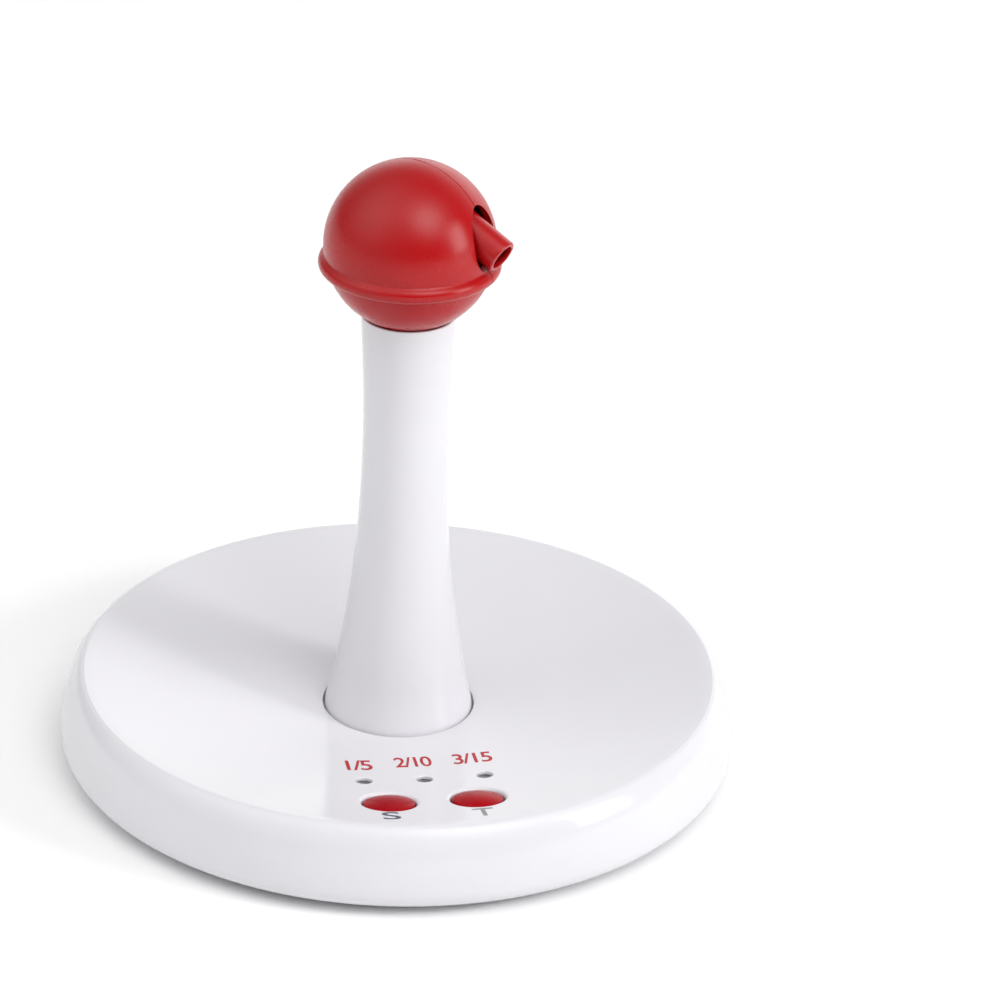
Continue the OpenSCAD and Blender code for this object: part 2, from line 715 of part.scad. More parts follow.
module arbor_pin() {
    color("lightgray") translate([arbor_x, 0, case_z + floor_t - 0.6])
        cylinder(h = seat_z + 0.6 - case_z - floor_t + 0.6, r = arbor_r, $fn = small_fn);
}

module compound_gear() {
    color("ivory") difference() {
        union() {
            translate([arbor_x, 0, compound_z]) spur(wheel_teeth, wheel_t, wheel_phase);
            translate([arbor_x, 0, compound_z]) spur(pinion_teeth, wheel_t + small_h, small_phase);
        }
        translate([arbor_x, 0, compound_z - 1])
            cylinder(h = 9, r = arbor_r + run_clear, $fn = small_fn);
    }
}
// Turns that put a gap, not a tooth, opposite the partner's tooth
wheel_phase = wheel_teeth % 2 == 0 ? 180 / wheel_teeth : 0;
small_phase = pinion_teeth % 2 == 0 ? 180 / pinion_teeth : 0;

module output_gear() {
    color("ivory") translate([0, 0, output_z]) difference() {
        spur(wheel_teeth, wheel_t, 0);
        translate([0, 0, -1]) cylinder(h = wheel_t + 2, r = shaft_r + 0.01, $fn = small_fn);
    }
}

module output_shaft() {
    color("lightgray") difference() {
        translate([0, 0, output_z]) cylinder(h = shaft_top - output_z, r = shaft_r, $fn = small_fn);
        translate([shaft_r - 0.4, -5, hub_low_z]) cube([5, 10, 30]);
    }
}

module output_bush() {
    color("goldenrod") translate([0, 0, seat_z - bush_low]) difference() {
        cylinder(h = bush_low + lid_t + bush_high, r = bush_r, $fn = small_fn);
        translate([0, 0, -1]) cylinder(h = 10, r = shaft_r + run_clear, $fn = small_fn);
    }
}

// ---- slip disc and brushes -----------------------------------------------
brush_room = 7;
disc_z = seat_z + lid_t + brush_room;
disc_t = 1;
disc_gap = 1;
disc_r = seat_r - disc_gap;
hub_r = 5;
hub_tip_h = 0.9;
hub_low_z = disc_z - hub_tip_h;
hub_tip_r = 3.4;
shelf_rise = 3.7;
shelf_z = shelf_rise - ball_inner_r;
flange_hub_t = 2;
flange_hub_r = 11;
shaft_top = ball_z + shelf_z - 1;
track_t = 0.1;
track_in = [4.4, 6];
track_out = [6.8, 8.4];
brush_y = -1.6;
brush_w = 1.2;
leaf_t = 0.25;

module slip_disc() {
    color("darkgreen") translate([0, 0, disc_z]) difference() {
        cylinder(h = disc_t, r = disc_r, $fn = round_fn);
        translate([0, 0, -1]) cylinder(h = 4, r = hub_tip_r + 0.02, $fn = small_fn);
    }
}

module slip_tracks() {
    color("orange") for (t = [track_in, track_out]) translate([0, 0, disc_z - track_t]) difference() {
        cylinder(h = track_t, r = t[1], $fn = round_fn);
        translate([0, 0, -1]) cylinder(h = 4, r = t[0], $fn = round_fn);
    }
}

module brush_block() {
    color("dimgray") difference() {
        translate([-disc_r + 1, brush_y - 3, seat_z + lid_t]) cube([disc_r - 5, 3, 3]);
        for (t = [track_in, track_out])
            translate([-(t[0] + t[1]) / 2 - brush_w / 2 - 0.05, brush_y - 4, seat_z + lid_t + 1.5])
                cube([brush_w + 0.1, 10, leaf_t + 0.1]);
    }
}

// Two leaf springs that rise from the block to the tracks
brush_low = seat_z + lid_t + 1.55 + leaf_t;
brush_high = disc_z - track_t - 0.1;
brush_line = [
    [brush_y - 2.8, brush_low], [brush_y + 0.2, brush_low], [brush_y + 3.2, brush_high - 0.5],
    [brush_y + 3.8, brush_high], [brush_y + 4.5, brush_high - 0.5]
];
module brushes() {
    last = len(brush_line) - 1;
    color("orange") for (t = [track_in, track_out])
        translate([-(t[0] + t[1] + brush_w) / 2, 0, 0]) rotate([90, 0, 90])
            linear_extrude(height = brush_w) polygon(concat(
                brush_line, [for (i = [last:-1:0]) brush_line[i] - [0, leaf_t]]));
}

// ---- wires ---------------------------------------------------------------
// A round tube along a smooth curve through the points
wire_sides = 8;
wire_steps = 4;
function curve_at(p, i, t) =
    let (a = p[max(i - 1, 0)], b = p[i], c = p[i + 1], d = p[min(i + 2, len(p) - 1)])
    0.5 * (2 * b + (c - a) * t + (2 * a - 5 * b + 4 * c - d) * t * t
        + (3 * b - a - 3 * c + d) * t * t * t);
function curve_points(p) = concat([for (i = [0:len(p) - 2]) for (k = [0:wire_steps - 1])
    curve_at(p, i, k / wire_steps)], [p[len(p) - 1]]);
function unit(v) = v / norm(v);

module wire(points) {
    path = curve_points(points);
    n = len(path);
    rings = [for (i = [0:n - 1])
        let (
            t = unit(path[min(i + 1, n - 1)] - path[max(i - 1, 0)]),
            u = unit(cross(t, [1, 0, 0])),
            v = cross(t, u)
        ) [for (k = [0:wire_sides - 1]) path[i]
            + wire_r * (u * cos(360 * k / wire_sides) + v * sin(360 * k / wire_sides))]];
    polyhedron(
        points = [for (r = rings) for (q = r) q],
        faces = concat(
            [[for (k = [wire_sides - 1:-1:0]) k]],
            [for (i = [0:n - 2]) for (k = [0:wire_sides - 1]) for (h = [0, 1])
                let (k2 = (k + 1) % wire_sides, a = i * wire_sides, b = a + wire_sides)
                h == 0 ? [a + k, a + k2, b + k2] : [a + k, b + k2, b + k]],
            [[for (k = [0:wire_sides - 1]) (n - 1) * wire_sides + k]]));
}

plug_out_y = -face_r + (plug_y + 2.4) * cos(face_tilt) + (board_top + 2) * sin(face_tilt);
plug_out_z = dish_z(face_r) - (plug_y + 2.4) * sin(face_tilt) + (board_top + 2) * cos(face_tilt);
plug_pitch = 1.6;
function pin_x(k) = plug_x + (k - 2.5) * plug_pitch;
// Height of the wires under the hub's floor, clear of the plate and of the screw heads
floor_wire_z = (plate_top + hub_floor_z - screw_head_t) / 2;

// The first two points of every wire lead it out of plug pin k and over the board's edge
function pin_start(k) = [[pin_x(k), plug_out_y, plug_out_z], [pin_x(k), plug_out_y + 8, plug_out_z - 0.6]];

module motor_wires() {
    for (s = [-1, 1]) color(s > 0 ? "red" : "black") wire(concat(pin_start(s > 0 ? 4 : 3), [
        [9.4 + s, -24, floor_wire_z + 0.6], [2.8 + 1.2 * s, -8, floor_wire_z + 0.8],
        [0.6 + 2.2 * s, -1, recess_z + 4], [2.5 * s, 0, 40], [3 * s, 0, 70],
        [4 * s, 0.2, can_z - cap_len - 3.8]]));
}

module brush_wires() {
    up_x = -wire_slot_x + wire_r / 2;
    for (s = [-1, 1]) color(s > 0 ? "yellow" : "green") wire(concat(pin_start(s > 0 ? 1 : 2), [
        [5.1 - 0.9 * s, -24, floor_wire_z + 0.6], [-4 - s, -7, floor_wire_z + 0.8],
        [-6.3 - 0.3 * s, -0.8 + 1.4 * s, recess_z + 4], [-7.5, wire_mid_y + s, 40],
        [-8, wire_mid_y + s, 74], [up_x, wire_mid_y + s, can_z - 6],
        [up_x, wire_mid_y + s, seat_z - 4], [up_x, wire_mid_y + s, seat_z + lid_t + 0.6]]));
}

module cell_wires() {
    side_x = well_out_x + wire_r + 0.3;
    for (s = [-1, 1]) color(s > 0 ? "red" : "black") wire(concat(pin_start(s > 0 ? 5 : 0), [
        [s > 0 ? 15 : 0, -26, floor_wire_z], [s > 0 ? 24 : -20, -12, floor_wire_z - 0.4],
        [s * 28, 8, floor_wire_z - 0.4], [s * side_x, 30, floor_wire_z],
        [s * side_x, cell_row_y - well_in_y + 5, floor_wire_z + 1]]));
}

// ---- ball head -----------------------------------------------------------
bead_core_r = bead_r - bead_h / 2;
boss_spots = [[-14, 9], [-14, -9], [13, -10]];
ball_boss_r = 3;
ball_screw_r = 1.1;
ball_screw_grip = 5;
ball_screw_seat = split_y + ball_screw_grip;
ball_screw_len = 14.5;
ball_screw_head_r = 2;
ball_screw_hole_r = ball_screw_head_r + 0.3;
pivot_t = -2;
socket_r = pivot_r + 1.9;
tube_r = tube_d / 2;
hub_screw_y = 8.2;

module on_head() {
    translate([0, 0, ball_z]) rotate([0, 0, head_turn]) children();
}

// Z runs along the tube, from the point nearest the ball's centre towards the tip
module on_tube() {
    translate([tube_offset * sin(tube_slope), split_y, tube_offset * cos(tube_slope)])
        rotate([0, 90 + tube_slope, 0]) children();
}

// Pivot point in the head's frame
pivot_x = tube_offset * sin(tube_slope) + pivot_t * cos(tube_slope);
pivot_z = tube_offset * cos(tube_slope) - pivot_t * sin(tube_slope);
module tilted(angle) {
    translate([pivot_x, split_y, pivot_z]) rotate([0, -angle, 0])
        translate([-pivot_x, -split_y, -pivot_z]) children();
}

module opening_cut() {
    for (angle = [0, opening_raise]) tilted(angle) on_tube()
        cylinder(h = 40, r = tube_r + opening_gap, $fn = round_fn);
}

module ball_body() {
    difference() {
        union() {
            difference() {
                sphere(r = ball_r, $fn = round_fn);
                opening_cut();
            }
            translate([0, 0, -bead_drop]) difference() {
                rotate_extrude($fn = round_fn) translate([bead_core_r, 0])
                    circle(r = bead_h / 2, $fn = small_fn);
                cylinder(h = 20, r = ball_inner_r, center = true, $fn = round_fn);
            }
        }
        difference() {
            sphere(r = ball_inner_r, $fn = round_fn);
            boxed(30, 30, -30, shelf_z);
            for (b = boss_spots) translate([b[0], 0, b[1]]) rotate([90, 0, 0])
                cylinder(h = 60, r = ball_boss_r, center = true, $fn = small_fn);
            for (s = [-1, 1]) translate([pivot_x, split_y + s * (tube_r + 0.6), pivot_z])
                rotate([-90 * s, 0, 0]) cylinder(h = 30, r = socket_r, $fn = small_fn);
        }
        translate([0, 0, -40]) cylinder(h = 30, r = hub_r + 0.4, $fn = small_fn);
        for (s = [-1, 1]) translate([0, s * hub_screw_y, shelf_z - 3.6])
            cylinder(h = 5, r = 1 + pilot_clear, $fn = small_fn);
        translate([pivot_x, split_y, pivot_z]) rotate([90, 0, 0])
            cylinder(h = 2 * (tube_r + pivot_len + 0.4), r = pivot_r + pivot_clear, center = true,
                $fn = small_fn);
        for (b = boss_spots) translate([b[0], ball_screw_seat, b[1]]) rotate([90, 0, 0]) {
            cylinder(h = ball_screw_len + 1, r = ball_screw_r + pilot_clear, $fn = small_fn);
            translate([0, 0, -ball_d]) cylinder(h = ball_d, r = ball_screw_hole_r, $fn = small_fn);
        }
    }
}

module ball_front() {
    color("firebrick") on_head() intersection() {
        ball_body();
        translate([-ball_d, split_y - 2 * ball_d, -ball_d]) cube(2 * ball_d);
    }
}

module ball_back() {
    color("firebrick") on_head() intersection() {
        ball_body();
        translate([-ball_d, split_y, -ball_d]) cube(2 * ball_d);
    }
}

module ball_screws() {
    color("silver") on_head() for (b = boss_spots)
        translate([b[0], ball_screw_seat, b[1]]) rotate([90, 0, 0])
            pan_screw(ball_screw_r, ball_screw_len, ball_screw_head_r, 1.4);
}

module spindle_hub() {
    color("ivory") on_head() difference() {
        union() {
            translate([0, 0, shelf_z]) cylinder(h = flange_hub_t, r = flange_hub_r, $fn = round_fn);
            translate([0, 0, disc_z + disc_t - ball_z])
                cylinder(h = shelf_z - disc_z - disc_t + ball_z + eps, r = hub_r, $fn = round_fn);
            translate([0, 0, hub_low_z - ball_z])
                cylinder(h = disc_z + disc_t - hub_low_z + eps, r = hub_tip_r, $fn = round_fn);
        }
        rotate([0, 0, -head_turn]) difference() {
            translate([0, 0, hub_low_z - ball_z - 1])
                cylinder(h = shaft_top - hub_low_z + 1.2, r = shaft_r + 0.02, $fn = small_fn);
            translate([shaft_r - 0.38, -5, hub_low_z - ball_z - 2]) cube([5, 10, 30]);
        }
        for (s = [-1, 1]) translate([0, s * hub_screw_y, shelf_z - 1])
            cylinder(h = 5, r = 1.15, $fn = small_fn);
        translate([-hub_r - 4.4, -1.5, shelf_z - 1]) cube([3, 3, 5]);
    }
}

module hub_screws() {
    color("silver") on_head() for (s = [-1, 1])
        translate([0, s * hub_screw_y, shelf_z + flange_hub_t]) rotate([180, 0, 0])
            pan_screw(1, flange_hub_t + 3, 1.9, 1.2);
}

// ---- laser tube ----------------------------------------------------------
tube_bore_r = tube_r - tube_wall;
module_r = tube_bore_r - 0.05;
module_back = -tube_behind + 2;
mouth_roll = 0.6;
mouth_len = 1.2;

module laser_tube() {
    color("red") on_head() difference() {
        union() {
            on_tube() rotate_extrude($fn = round_fn) polygon(concat([[0, -tube_behind],
                [tube_r, -tube_behind]], arc_points(tube_r - mouth_roll, tube_ahead - mouth_roll,
                mouth_roll, mouth_roll, 0, 90, 4), [[0, tube_ahead]]));
            translate([pivot_x, split_y, pivot_z]) rotate([90, 0, 0])
                cylinder(h = 2 * (tube_r + pivot_len), r = pivot_r, center = true, $fn = small_fn);
        }
        on_tube() translate([0, 0, -tube_behind - 1]) {
            cylinder(h = tube_ahead + tube_behind + 1 - mouth_len, r = tube_bore_r, $fn = round_fn);
            cylinder(h = tube_ahead + tube_behind + 2, r = tube_bore_r - mouth_ring, $fn = round_fn);
        }
    }
}

module laser_module() {
    color("goldenrod") on_head() on_tube() translate([0, 0, module_back]) difference() {
        cylinder(h = module_len, r = module_r, $fn = round_fn);
        translate([0, 0, module_len - 2]) cylinder(h = 3, r = lens_d / 2 + 0.02, $fn = small_fn);
        translate([0, 0, 3]) cylinder(h = module_len, r = lens_d / 2 - 0.6, $fn = small_fn);
    }
}

module laser_lens() {
    color("red") on_head() on_tube() translate([0, 0, module_back + module_len - 2])
        cylinder(h = 1, r = lens_d / 2, $fn = small_fn);
}

module laser_board() {
    color("seagreen") on_head() on_tube() translate([0, 0, module_back - 1.1])
        cylinder(h = 1, r = module_r - 0.1, $fn = small_fn);
}

base_shell();
base_plate();
battery_door();
cell(1);  // cell_1
cell(2);  // cell_2
cell(3);  // cell_3
cell_springs();
contact_plate(-1);  // contact_left
contact_plate(1);  // contact_right
foot(1);  // foot_1
foot(2);  // foot_2
foot(3);  // foot_3
foot(4);  // foot_4
base_screws();
control_board();
board_screws();
control_chip();
board_capacitor();
wire_plug();
lamp(1);  // lamp_1
lamp(2);  // lamp_2
lamp(3);  // lamp_3
tact_switch(-1);  // switch_speed
tact_switch(1);  // switch_time
plunger(-1);  // plunger_speed
plunger(1);  // plunger_time
push_button(-1);  // button_speed
push_button(1);  // button_time
column();
column_screws();
motor_can();
motor_cap();
motor_terminals();
motor_shaft();
motor_pinion();
motor_screws();
gear_case();
gear_lid();
drive_screws();
arbor_pin();
compound_gear();
output_gear();
output_shaft();
output_bush();
brush_block();
brushes();
motor_wires();
brush_wires();
cell_wires();
ball_front();
ball_back();
ball_screws();
spindle_hub();
hub_screws();
slip_disc();
slip_tracks();
laser_tube();
laser_module();
laser_lens();
laser_board();
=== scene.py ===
# %% [markdown]
# # Dressing an automatic cat laser toy
#
# The toy is a white dished base with two red push buttons, a white flared column, and a red ball
# that turns on it and carries a small laser tube. Its working solids come in as a fixed frame. This
# lesson gives the frame its looks: smooth moulded skins, printed marks, lamps, and a procedural
# finish on every surface. Lengths are written in millimetres and turned into metres by MM.

# %% Load the frame
import json
import math

import bmesh
import bpy
from mathutils import Matrix, Vector


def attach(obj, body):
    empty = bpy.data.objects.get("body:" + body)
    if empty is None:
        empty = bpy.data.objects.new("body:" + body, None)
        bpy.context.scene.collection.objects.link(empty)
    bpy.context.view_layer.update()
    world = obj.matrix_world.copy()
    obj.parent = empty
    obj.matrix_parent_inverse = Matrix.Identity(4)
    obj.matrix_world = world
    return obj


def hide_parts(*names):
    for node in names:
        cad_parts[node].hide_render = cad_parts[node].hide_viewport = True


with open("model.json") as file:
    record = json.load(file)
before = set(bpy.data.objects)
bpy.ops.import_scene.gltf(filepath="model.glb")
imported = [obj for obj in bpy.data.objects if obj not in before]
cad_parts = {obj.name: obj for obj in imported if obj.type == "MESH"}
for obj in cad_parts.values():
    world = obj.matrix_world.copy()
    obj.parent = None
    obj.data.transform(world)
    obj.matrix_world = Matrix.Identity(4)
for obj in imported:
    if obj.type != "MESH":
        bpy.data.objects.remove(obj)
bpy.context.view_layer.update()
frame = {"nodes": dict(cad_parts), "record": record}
MM = 0.001
nodes = frame["nodes"]

# %% [markdown]
# ## Camera
#
# A product photograph is taken from far away with a long lens, so parallel edges stay nearly
# parallel. The camera first looks at the middle of the footprint, and is then turned a little about
# its own three axes, which puts the toy off centre and tips it as it is tipped in the photograph.

# %% Camera
CAMERA_DISTANCE = 1347.4
CAMERA_AZIMUTH = -8.7
CAMERA_ELEVATION = 29.6
CAMERA_YAW = -1.23
CAMERA_PITCH = 3.15
CAMERA_ROLL = -1.455
SENSOR = 36.0
FOCAL_PIXELS = 4497.2
FRAME_PIXELS = 1000


def make_camera():
    """Turns a camera by named angles, in degrees, about its own axes."""
    azimuth, elevation = math.radians(CAMERA_AZIMUTH), math.radians(CAMERA_ELEVATION)
    back = Vector((math.sin(azimuth) * math.cos(elevation),
                   -math.cos(azimuth) * math.cos(elevation), math.sin(elevation)))
    turn = (-back).to_track_quat("-Z", "Y").to_matrix().to_4x4()
    turn = turn @ Matrix.Rotation(math.radians(CAMERA_YAW), 4, "Y")
    turn = turn @ Matrix.Rotation(math.radians(CAMERA_PITCH), 4, "X")
    turn = turn @ Matrix.Rotation(math.radians(-CAMERA_ROLL), 4, "Z")
    data = bpy.data.cameras.new("camera")
    data.sensor_width = SENSOR
    data.lens = FOCAL_PIXELS / FRAME_PIXELS * SENSOR
    data.clip_start, data.clip_end = 0.05, 20
    camera = bpy.data.objects.new("camera", data)
    camera.matrix_world = Matrix.Translation(back * CAMERA_DISTANCE * MM) @ turn
    bpy.context.scene.collection.objects.link(camera)
    bpy.context.scene.camera = camera
    return camera


camera = make_camera()
print("camera at", [round(x / MM, 1) for x in camera.matrix_world.translation], "mm")

# %% [markdown]
# ## Floor and light
#
# The toy stands on a seamless white sweep. One tall soft box stands front right and leaves the
# bright patch on the outer wall. A small lamp inside it throws the column's shadow across the dish.
# The rest of the studio is the world: five wide glows, each brightest in one direction, stand for
# lit walls and ceiling. Between them the room is dim, which gives glossy plastic its soft bands.

# %% Floor, world and lights
FLOOR_HALF = 6.0
# The sheet lies this far under the feet, so that the two never share a plane
FLOOR_DROP = 0.0002
# Azimuth and elevation in degrees, tightness and strength of each glow
SKY_GLOWS = [(0, 90, 3, 0.32), (180, 6, 8, 0.95), (140, 10, 8, 1.6), (28, 53, 16, 4.2),
             (-80, 45, 4, 1.45)]


def make_floor():
    """A flat sweep under everything."""
    bm = bmesh.new()
    bmesh.ops.create_grid(bm, x_segments=2, y_segments=2, size=FLOOR_HALF)
    bmesh.ops.translate(bm, verts=bm.verts[:], vec=(0, 0, -FLOOR_DROP))
    mesh = bpy.data.meshes.new("floor")
    bm.to_mesh(mesh)
    bm.free()
    floor = bpy.data.objects.new("floor", mesh)
    bpy.context.scene.collection.objects.link(floor)
    material = bpy.data.materials.new("paper_sweep")
    material.use_nodes = True
    shader = material.node_tree.nodes["Principled BSDF"]
    shader.inputs["Base Color"].default_value = (0.96, 0.96, 0.96, 1)
    shader.inputs["Roughness"].default_value = 0.9
    shader.inputs["Specular IOR Level"].default_value = 0.1
    mesh.materials.append(material)
    return floor


def toward(azimuth, elevation):
    """Direction from the toy, by azimuth (from -Y towards +X) and elevation in degrees."""
    a, e = math.radians(azimuth), math.radians(elevation)
    return Vector((math.sin(a) * math.cos(e), -math.cos(a) * math.cos(e), math.sin(e)))


def make_sky():
    """The world: the sum of glows, each a power of the cosine from its own direction."""
    world = bpy.data.worlds.new("studio")
    bpy.context.scene.world = world
    world.use_nodes = True
    tree = world.node_tree
    way = tree.nodes.new("ShaderNodeTexCoord").outputs["Generated"]
    total = 0.0
    for azimuth, elevation, tightness, strength in SKY_GLOWS:
        near = tree.nodes.new("ShaderNodeVectorMath")
        near.operation = "DOT_PRODUCT"
        near.inputs[1].default_value = toward(azimuth, elevation)
        tree.links.new(way, near.inputs[0])
        value = near.outputs["Value"]
        for operation, number in (("MAXIMUM", 0.0), ("POWER", tightness), ("MULTIPLY", strength),
                                  ("ADD", total)):
            step = tree.nodes.new("ShaderNodeMath")
            step.operation = operation
            tree.links.new(value, step.inputs[0])
            if isinstance(number, bpy.types.NodeSocket):
                tree.links.new(number, step.inputs[1])
            else:
                step.inputs[1].default_value = number
            value = step.outputs[0]
        total = value
    tree.links.new(total, tree.nodes["Background"].inputs["Strength"])
    tree.nodes["Background"].inputs["Color"].default_value = (1, 1, 1, 1)
    return world


def soft_box(name, azimuth, elevation, distance, width, height, power, aim=(0, 0, 0.06)):
    """An area light that stands where toward() points, at distance in metres from aim."""
    away = toward(azimuth, elevation)
    data = bpy.data.lights.new(name, "AREA")
    data.shape = "RECTANGLE"
    data.size, data.size_y, data.energy = width, height, power
    light = bpy.data.objects.new(name, data)
    turn = away.to_track_quat("Z", "Y").to_matrix().to_4x4()
    light.matrix_world = Matrix.Translation(Vector(aim) + away * distance) @ turn
    bpy.context.scene.collection.objects.link(light)
    return light


floor = make_floor()
make_sky()
soft_box("key_box", 62, 20, 1.6, 0.55, 0.8, 7.8)
small_lamp = soft_box("small_lamp", 57, 27, 1.6, 0.2, 0.2, 3.8)
small_lamp.visible_glossy = False
bpy.context.scene.view_settings.view_transform = "Standard"
print("stage: floor", FLOOR_HALF * 2, "m wide, 2 lights,", len(SKY_GLOWS), "glows")

# %% [markdown]
# ## Making solids
#
# Nearly every moulding here was turned in the toolmaker's lathe, so most pieces start as a closed
# outline in the XZ plane that is spun round the Z axis. Spin with use_merge closes the seam. After
# the spin the doubles on the axis are merged, and only then are the normals recalculated.

# %% Outline, spin and finish
SHARP_ANGLE = math.radians(32)


def arc(cx, cz, rx, rz, start, end, steps):
    """Points of a stretch of an ellipse in the XZ plane, from angle start to end in degrees."""
    turn = [math.radians(start + (end - start) * i / steps) for i in range(steps + 1)]
    return [(cx + rx * math.cos(t), cz + rz * math.sin(t)) for t in turn]


def spun(points, steps, axis_gap=1e-6):
    """A bmesh made by spinning a closed outline, given in millimetres, round the Z axis."""
    bm = bmesh.new()
    corners = [bm.verts.new((x * MM, 0, z * MM)) for x, z in points]
    for a, b in zip(corners, corners[1:] + corners[:1]):
        bm.edges.new((a, b))
    bmesh.ops.spin(bm, geom=bm.verts[:] + bm.edges[:], cent=(0, 0, 0), axis=(0, 0, 1),
                   dvec=(0, 0, 0), angle=2 * math.pi, steps=steps, use_merge=True,
                   use_duplicate=False)
    bmesh.ops.remove_doubles(bm, verts=bm.verts[:], dist=axis_gap)
    bmesh.ops.dissolve_degenerate(bm, edges=bm.edges[:], dist=1e-7)
    bmesh.ops.recalc_face_normals(bm, faces=bm.faces[:])
    return bm


def made(name, bm, place=None):
    """Turns a bmesh into an object at the origin; place, in millimetres, goes into its mesh."""
    if place is not None:
        bmesh.ops.transform(bm, matrix=scaled(place), verts=bm.verts[:])
    mesh = bpy.data.meshes.new(name)
    bm.to_mesh(mesh)
    bm.free()
    piece = bpy.data.objects.new(name, mesh)
    bpy.context.scene.collection.objects.link(piece)
    return piece


def scaled(matrix):
    """A rigid matrix whose shift is given in millimetres, with the shift in metres."""
    out = matrix.copy()
    out.translation = matrix.translation * MM
    return out


def smoothed(piece, angle=SHARP_ANGLE):
    """Smooth shading, with the edges sharper than angle kept crisp."""
    piece.data.shade_smooth()
    piece.data.set_sharp_from_angle(angle=angle)
    return piece


def combine(piece, tools, operation):
    """Joins the tools to piece, or cuts them away, in one go, and throws them away."""
    tools = tools if isinstance(tools, list) else [tools]
    bm = bmesh.new()
    for tool in tools:
        bm.from_mesh(tool.data)
        bpy.data.meshes.remove(tool.data)
    other = made("tools", bm)
    modifier = piece.modifiers.new("combine", "BOOLEAN")
    modifier.object, modifier.operation, modifier.solver = other, operation, "MANIFOLD"
    bpy.context.view_layer.update()
    graph = bpy.context.evaluated_depsgraph_get()
    mesh = bpy.data.meshes.new_from_object(piece.evaluated_get(graph))
    piece.modifiers.remove(modifier)
    old, piece.data = piece.data, mesh
    bpy.data.meshes.remove(old)
    bpy.data.meshes.remove(other.data)
    mesh.name = piece.name
    return piece


def rod(radius, low, high, place=None, steps=48, ease=0.0):
    """A round bar from low to high on its own Z axis; when ease is given, both rims are eased."""
    if ease:
        points = [(0, low)] + arc(radius - ease, low + ease, ease, ease, -90, 0, 4) \
            + arc(radius - ease, high - ease, ease, ease, 0, 90, 4) + [(0, high)]
    else:
        points = [(0, low), (radius, low), (radius, high), (0, high)]
    return made("rod", spun(points, steps), place)


def block(low, high, place=None):
    """A box between two corners, in millimetres."""
    bm = bmesh.new()
    bmesh.ops.create_cube(bm, size=1)
    size = Vector(high) - Vector(low)
    middle = (Vector(high) + Vector(low)) / 2
    bmesh.ops.scale(bm, vec=size * MM, verts=bm.verts[:])
    bmesh.ops.translate(bm, vec=middle * MM, verts=bm.verts[:])
    return made("block", bm, place)


def dressed(piece, material):
    """Gives the whole piece one material; a Boolean can leave empty slots behind."""
    piece.data.materials.clear()
    piece.data.materials.append(material)
    piece.data.polygons.foreach_set("material_index", [0] * len(piece.data.polygons))
    return piece


def moved(x, y, z):
    """A shift, in millimetres."""
    return Matrix.Translation((x, y, z))


def turned(degrees, axis):
    """A turn about one of the axes through the origin."""
    return Matrix.Rotation(math.radians(degrees), 4, axis)


print("helpers ready: arc, spun, made, smoothed, combine, rod, block")

# %% [markdown]
# ## Shared effects
#
# Four node groups serve all the finishes. Grain is the fine texture that the mould leaves. Drift is
# the slow change of shade over a moulding. Worn edge finds the corners, where handling polishes or
# lightens a surface. Dust settles on faces that look up.

# %% Node group helpers
def new_group(name, inputs, outputs):
    """A shader node group with float sockets; returns the group, its input and output nodes."""
    group = bpy.data.node_groups.new(name, "ShaderNodeTree")
    for label, value in inputs:
        socket = group.interface.new_socket(label, in_out="INPUT", socket_type="NodeSocketFloat")
        socket.default_value = value
    for label in outputs:
        group.interface.new_socket(label, in_out="OUTPUT", socket_type="NodeSocketFloat")
    return group, group.nodes.new("NodeGroupInput"), group.nodes.new("NodeGroupOutput")


def add_node(tree, kind, settings=None, links=None):
    """A node with attributes from settings; links fill its inputs with sockets or values."""
    node = tree.nodes.new(kind)
    for key, value in (settings or {}).items():
        setattr(node, key, value)
    for key, value in (links or {}).items():
        if isinstance(value, bpy.types.NodeSocket):
            tree.links.new(value, node.inputs[key])
        else:
            node.inputs[key].default_value = value
    return node


def noise(tree, scale, detail=2.0, roughness=0.5):
    """Noise in object coordinates; scale is in waves per metre."""
    source = add_node(tree, "ShaderNodeTexCoord").outputs["Object"]
    return add_node(tree, "ShaderNodeTexNoise", None, {
        "Vector": source, "Scale": scale, "Detail": detail, "Roughness": roughness}).outputs["Fac"]


def remap(tree, value, low, high, to_low, to_high):
    """A value taken smoothly from one range to another."""
    node = add_node(tree, "ShaderNodeMapRange", {"interpolation_type": "SMOOTHSTEP"}, {
        "Value": value, "From Min": low, "From Max": high, "To Min": to_low, "To Max": to_high})
    return node.outputs["Result"]


def calc(tree, operation, a, b=0.0):
    """One Math node on two sockets or numbers."""
    return add_node(tree, "ShaderNodeMath", {"operation": operation}, {0: a, 1: b}).outputs[0]


# %% Grain, drift, worn edge and dust
def build_grain():
    """Mould texture: a fine even ripple with a broader orange peel under it."""
    group, given, out = new_group("grain", [("Scale", 4000.0), ("Peel", 0.4)], ["Height"])
    fine = noise(group, given.outputs["Scale"], 3.0)
    wide = noise(group, calc(group, "MULTIPLY", given.outputs["Scale"], 0.12), 1.0)
    group.links.new(calc(group, "ADD", fine, calc(group, "MULTIPLY", wide, given.outputs["Peel"])),
                    out.inputs["Height"])
    return group


def build_drift():
    """Slow change of shade, 0 to 1, with a cloudy middle."""
    group, given, out = new_group("drift", [("Scale", 20.0)], ["Shade"])
    cloud = noise(group, given.outputs["Scale"], 4.0, 0.55)
    group.links.new(remap(group, cloud, 0.3, 0.7, 0.0, 1.0), out.inputs["Shade"])
    return group


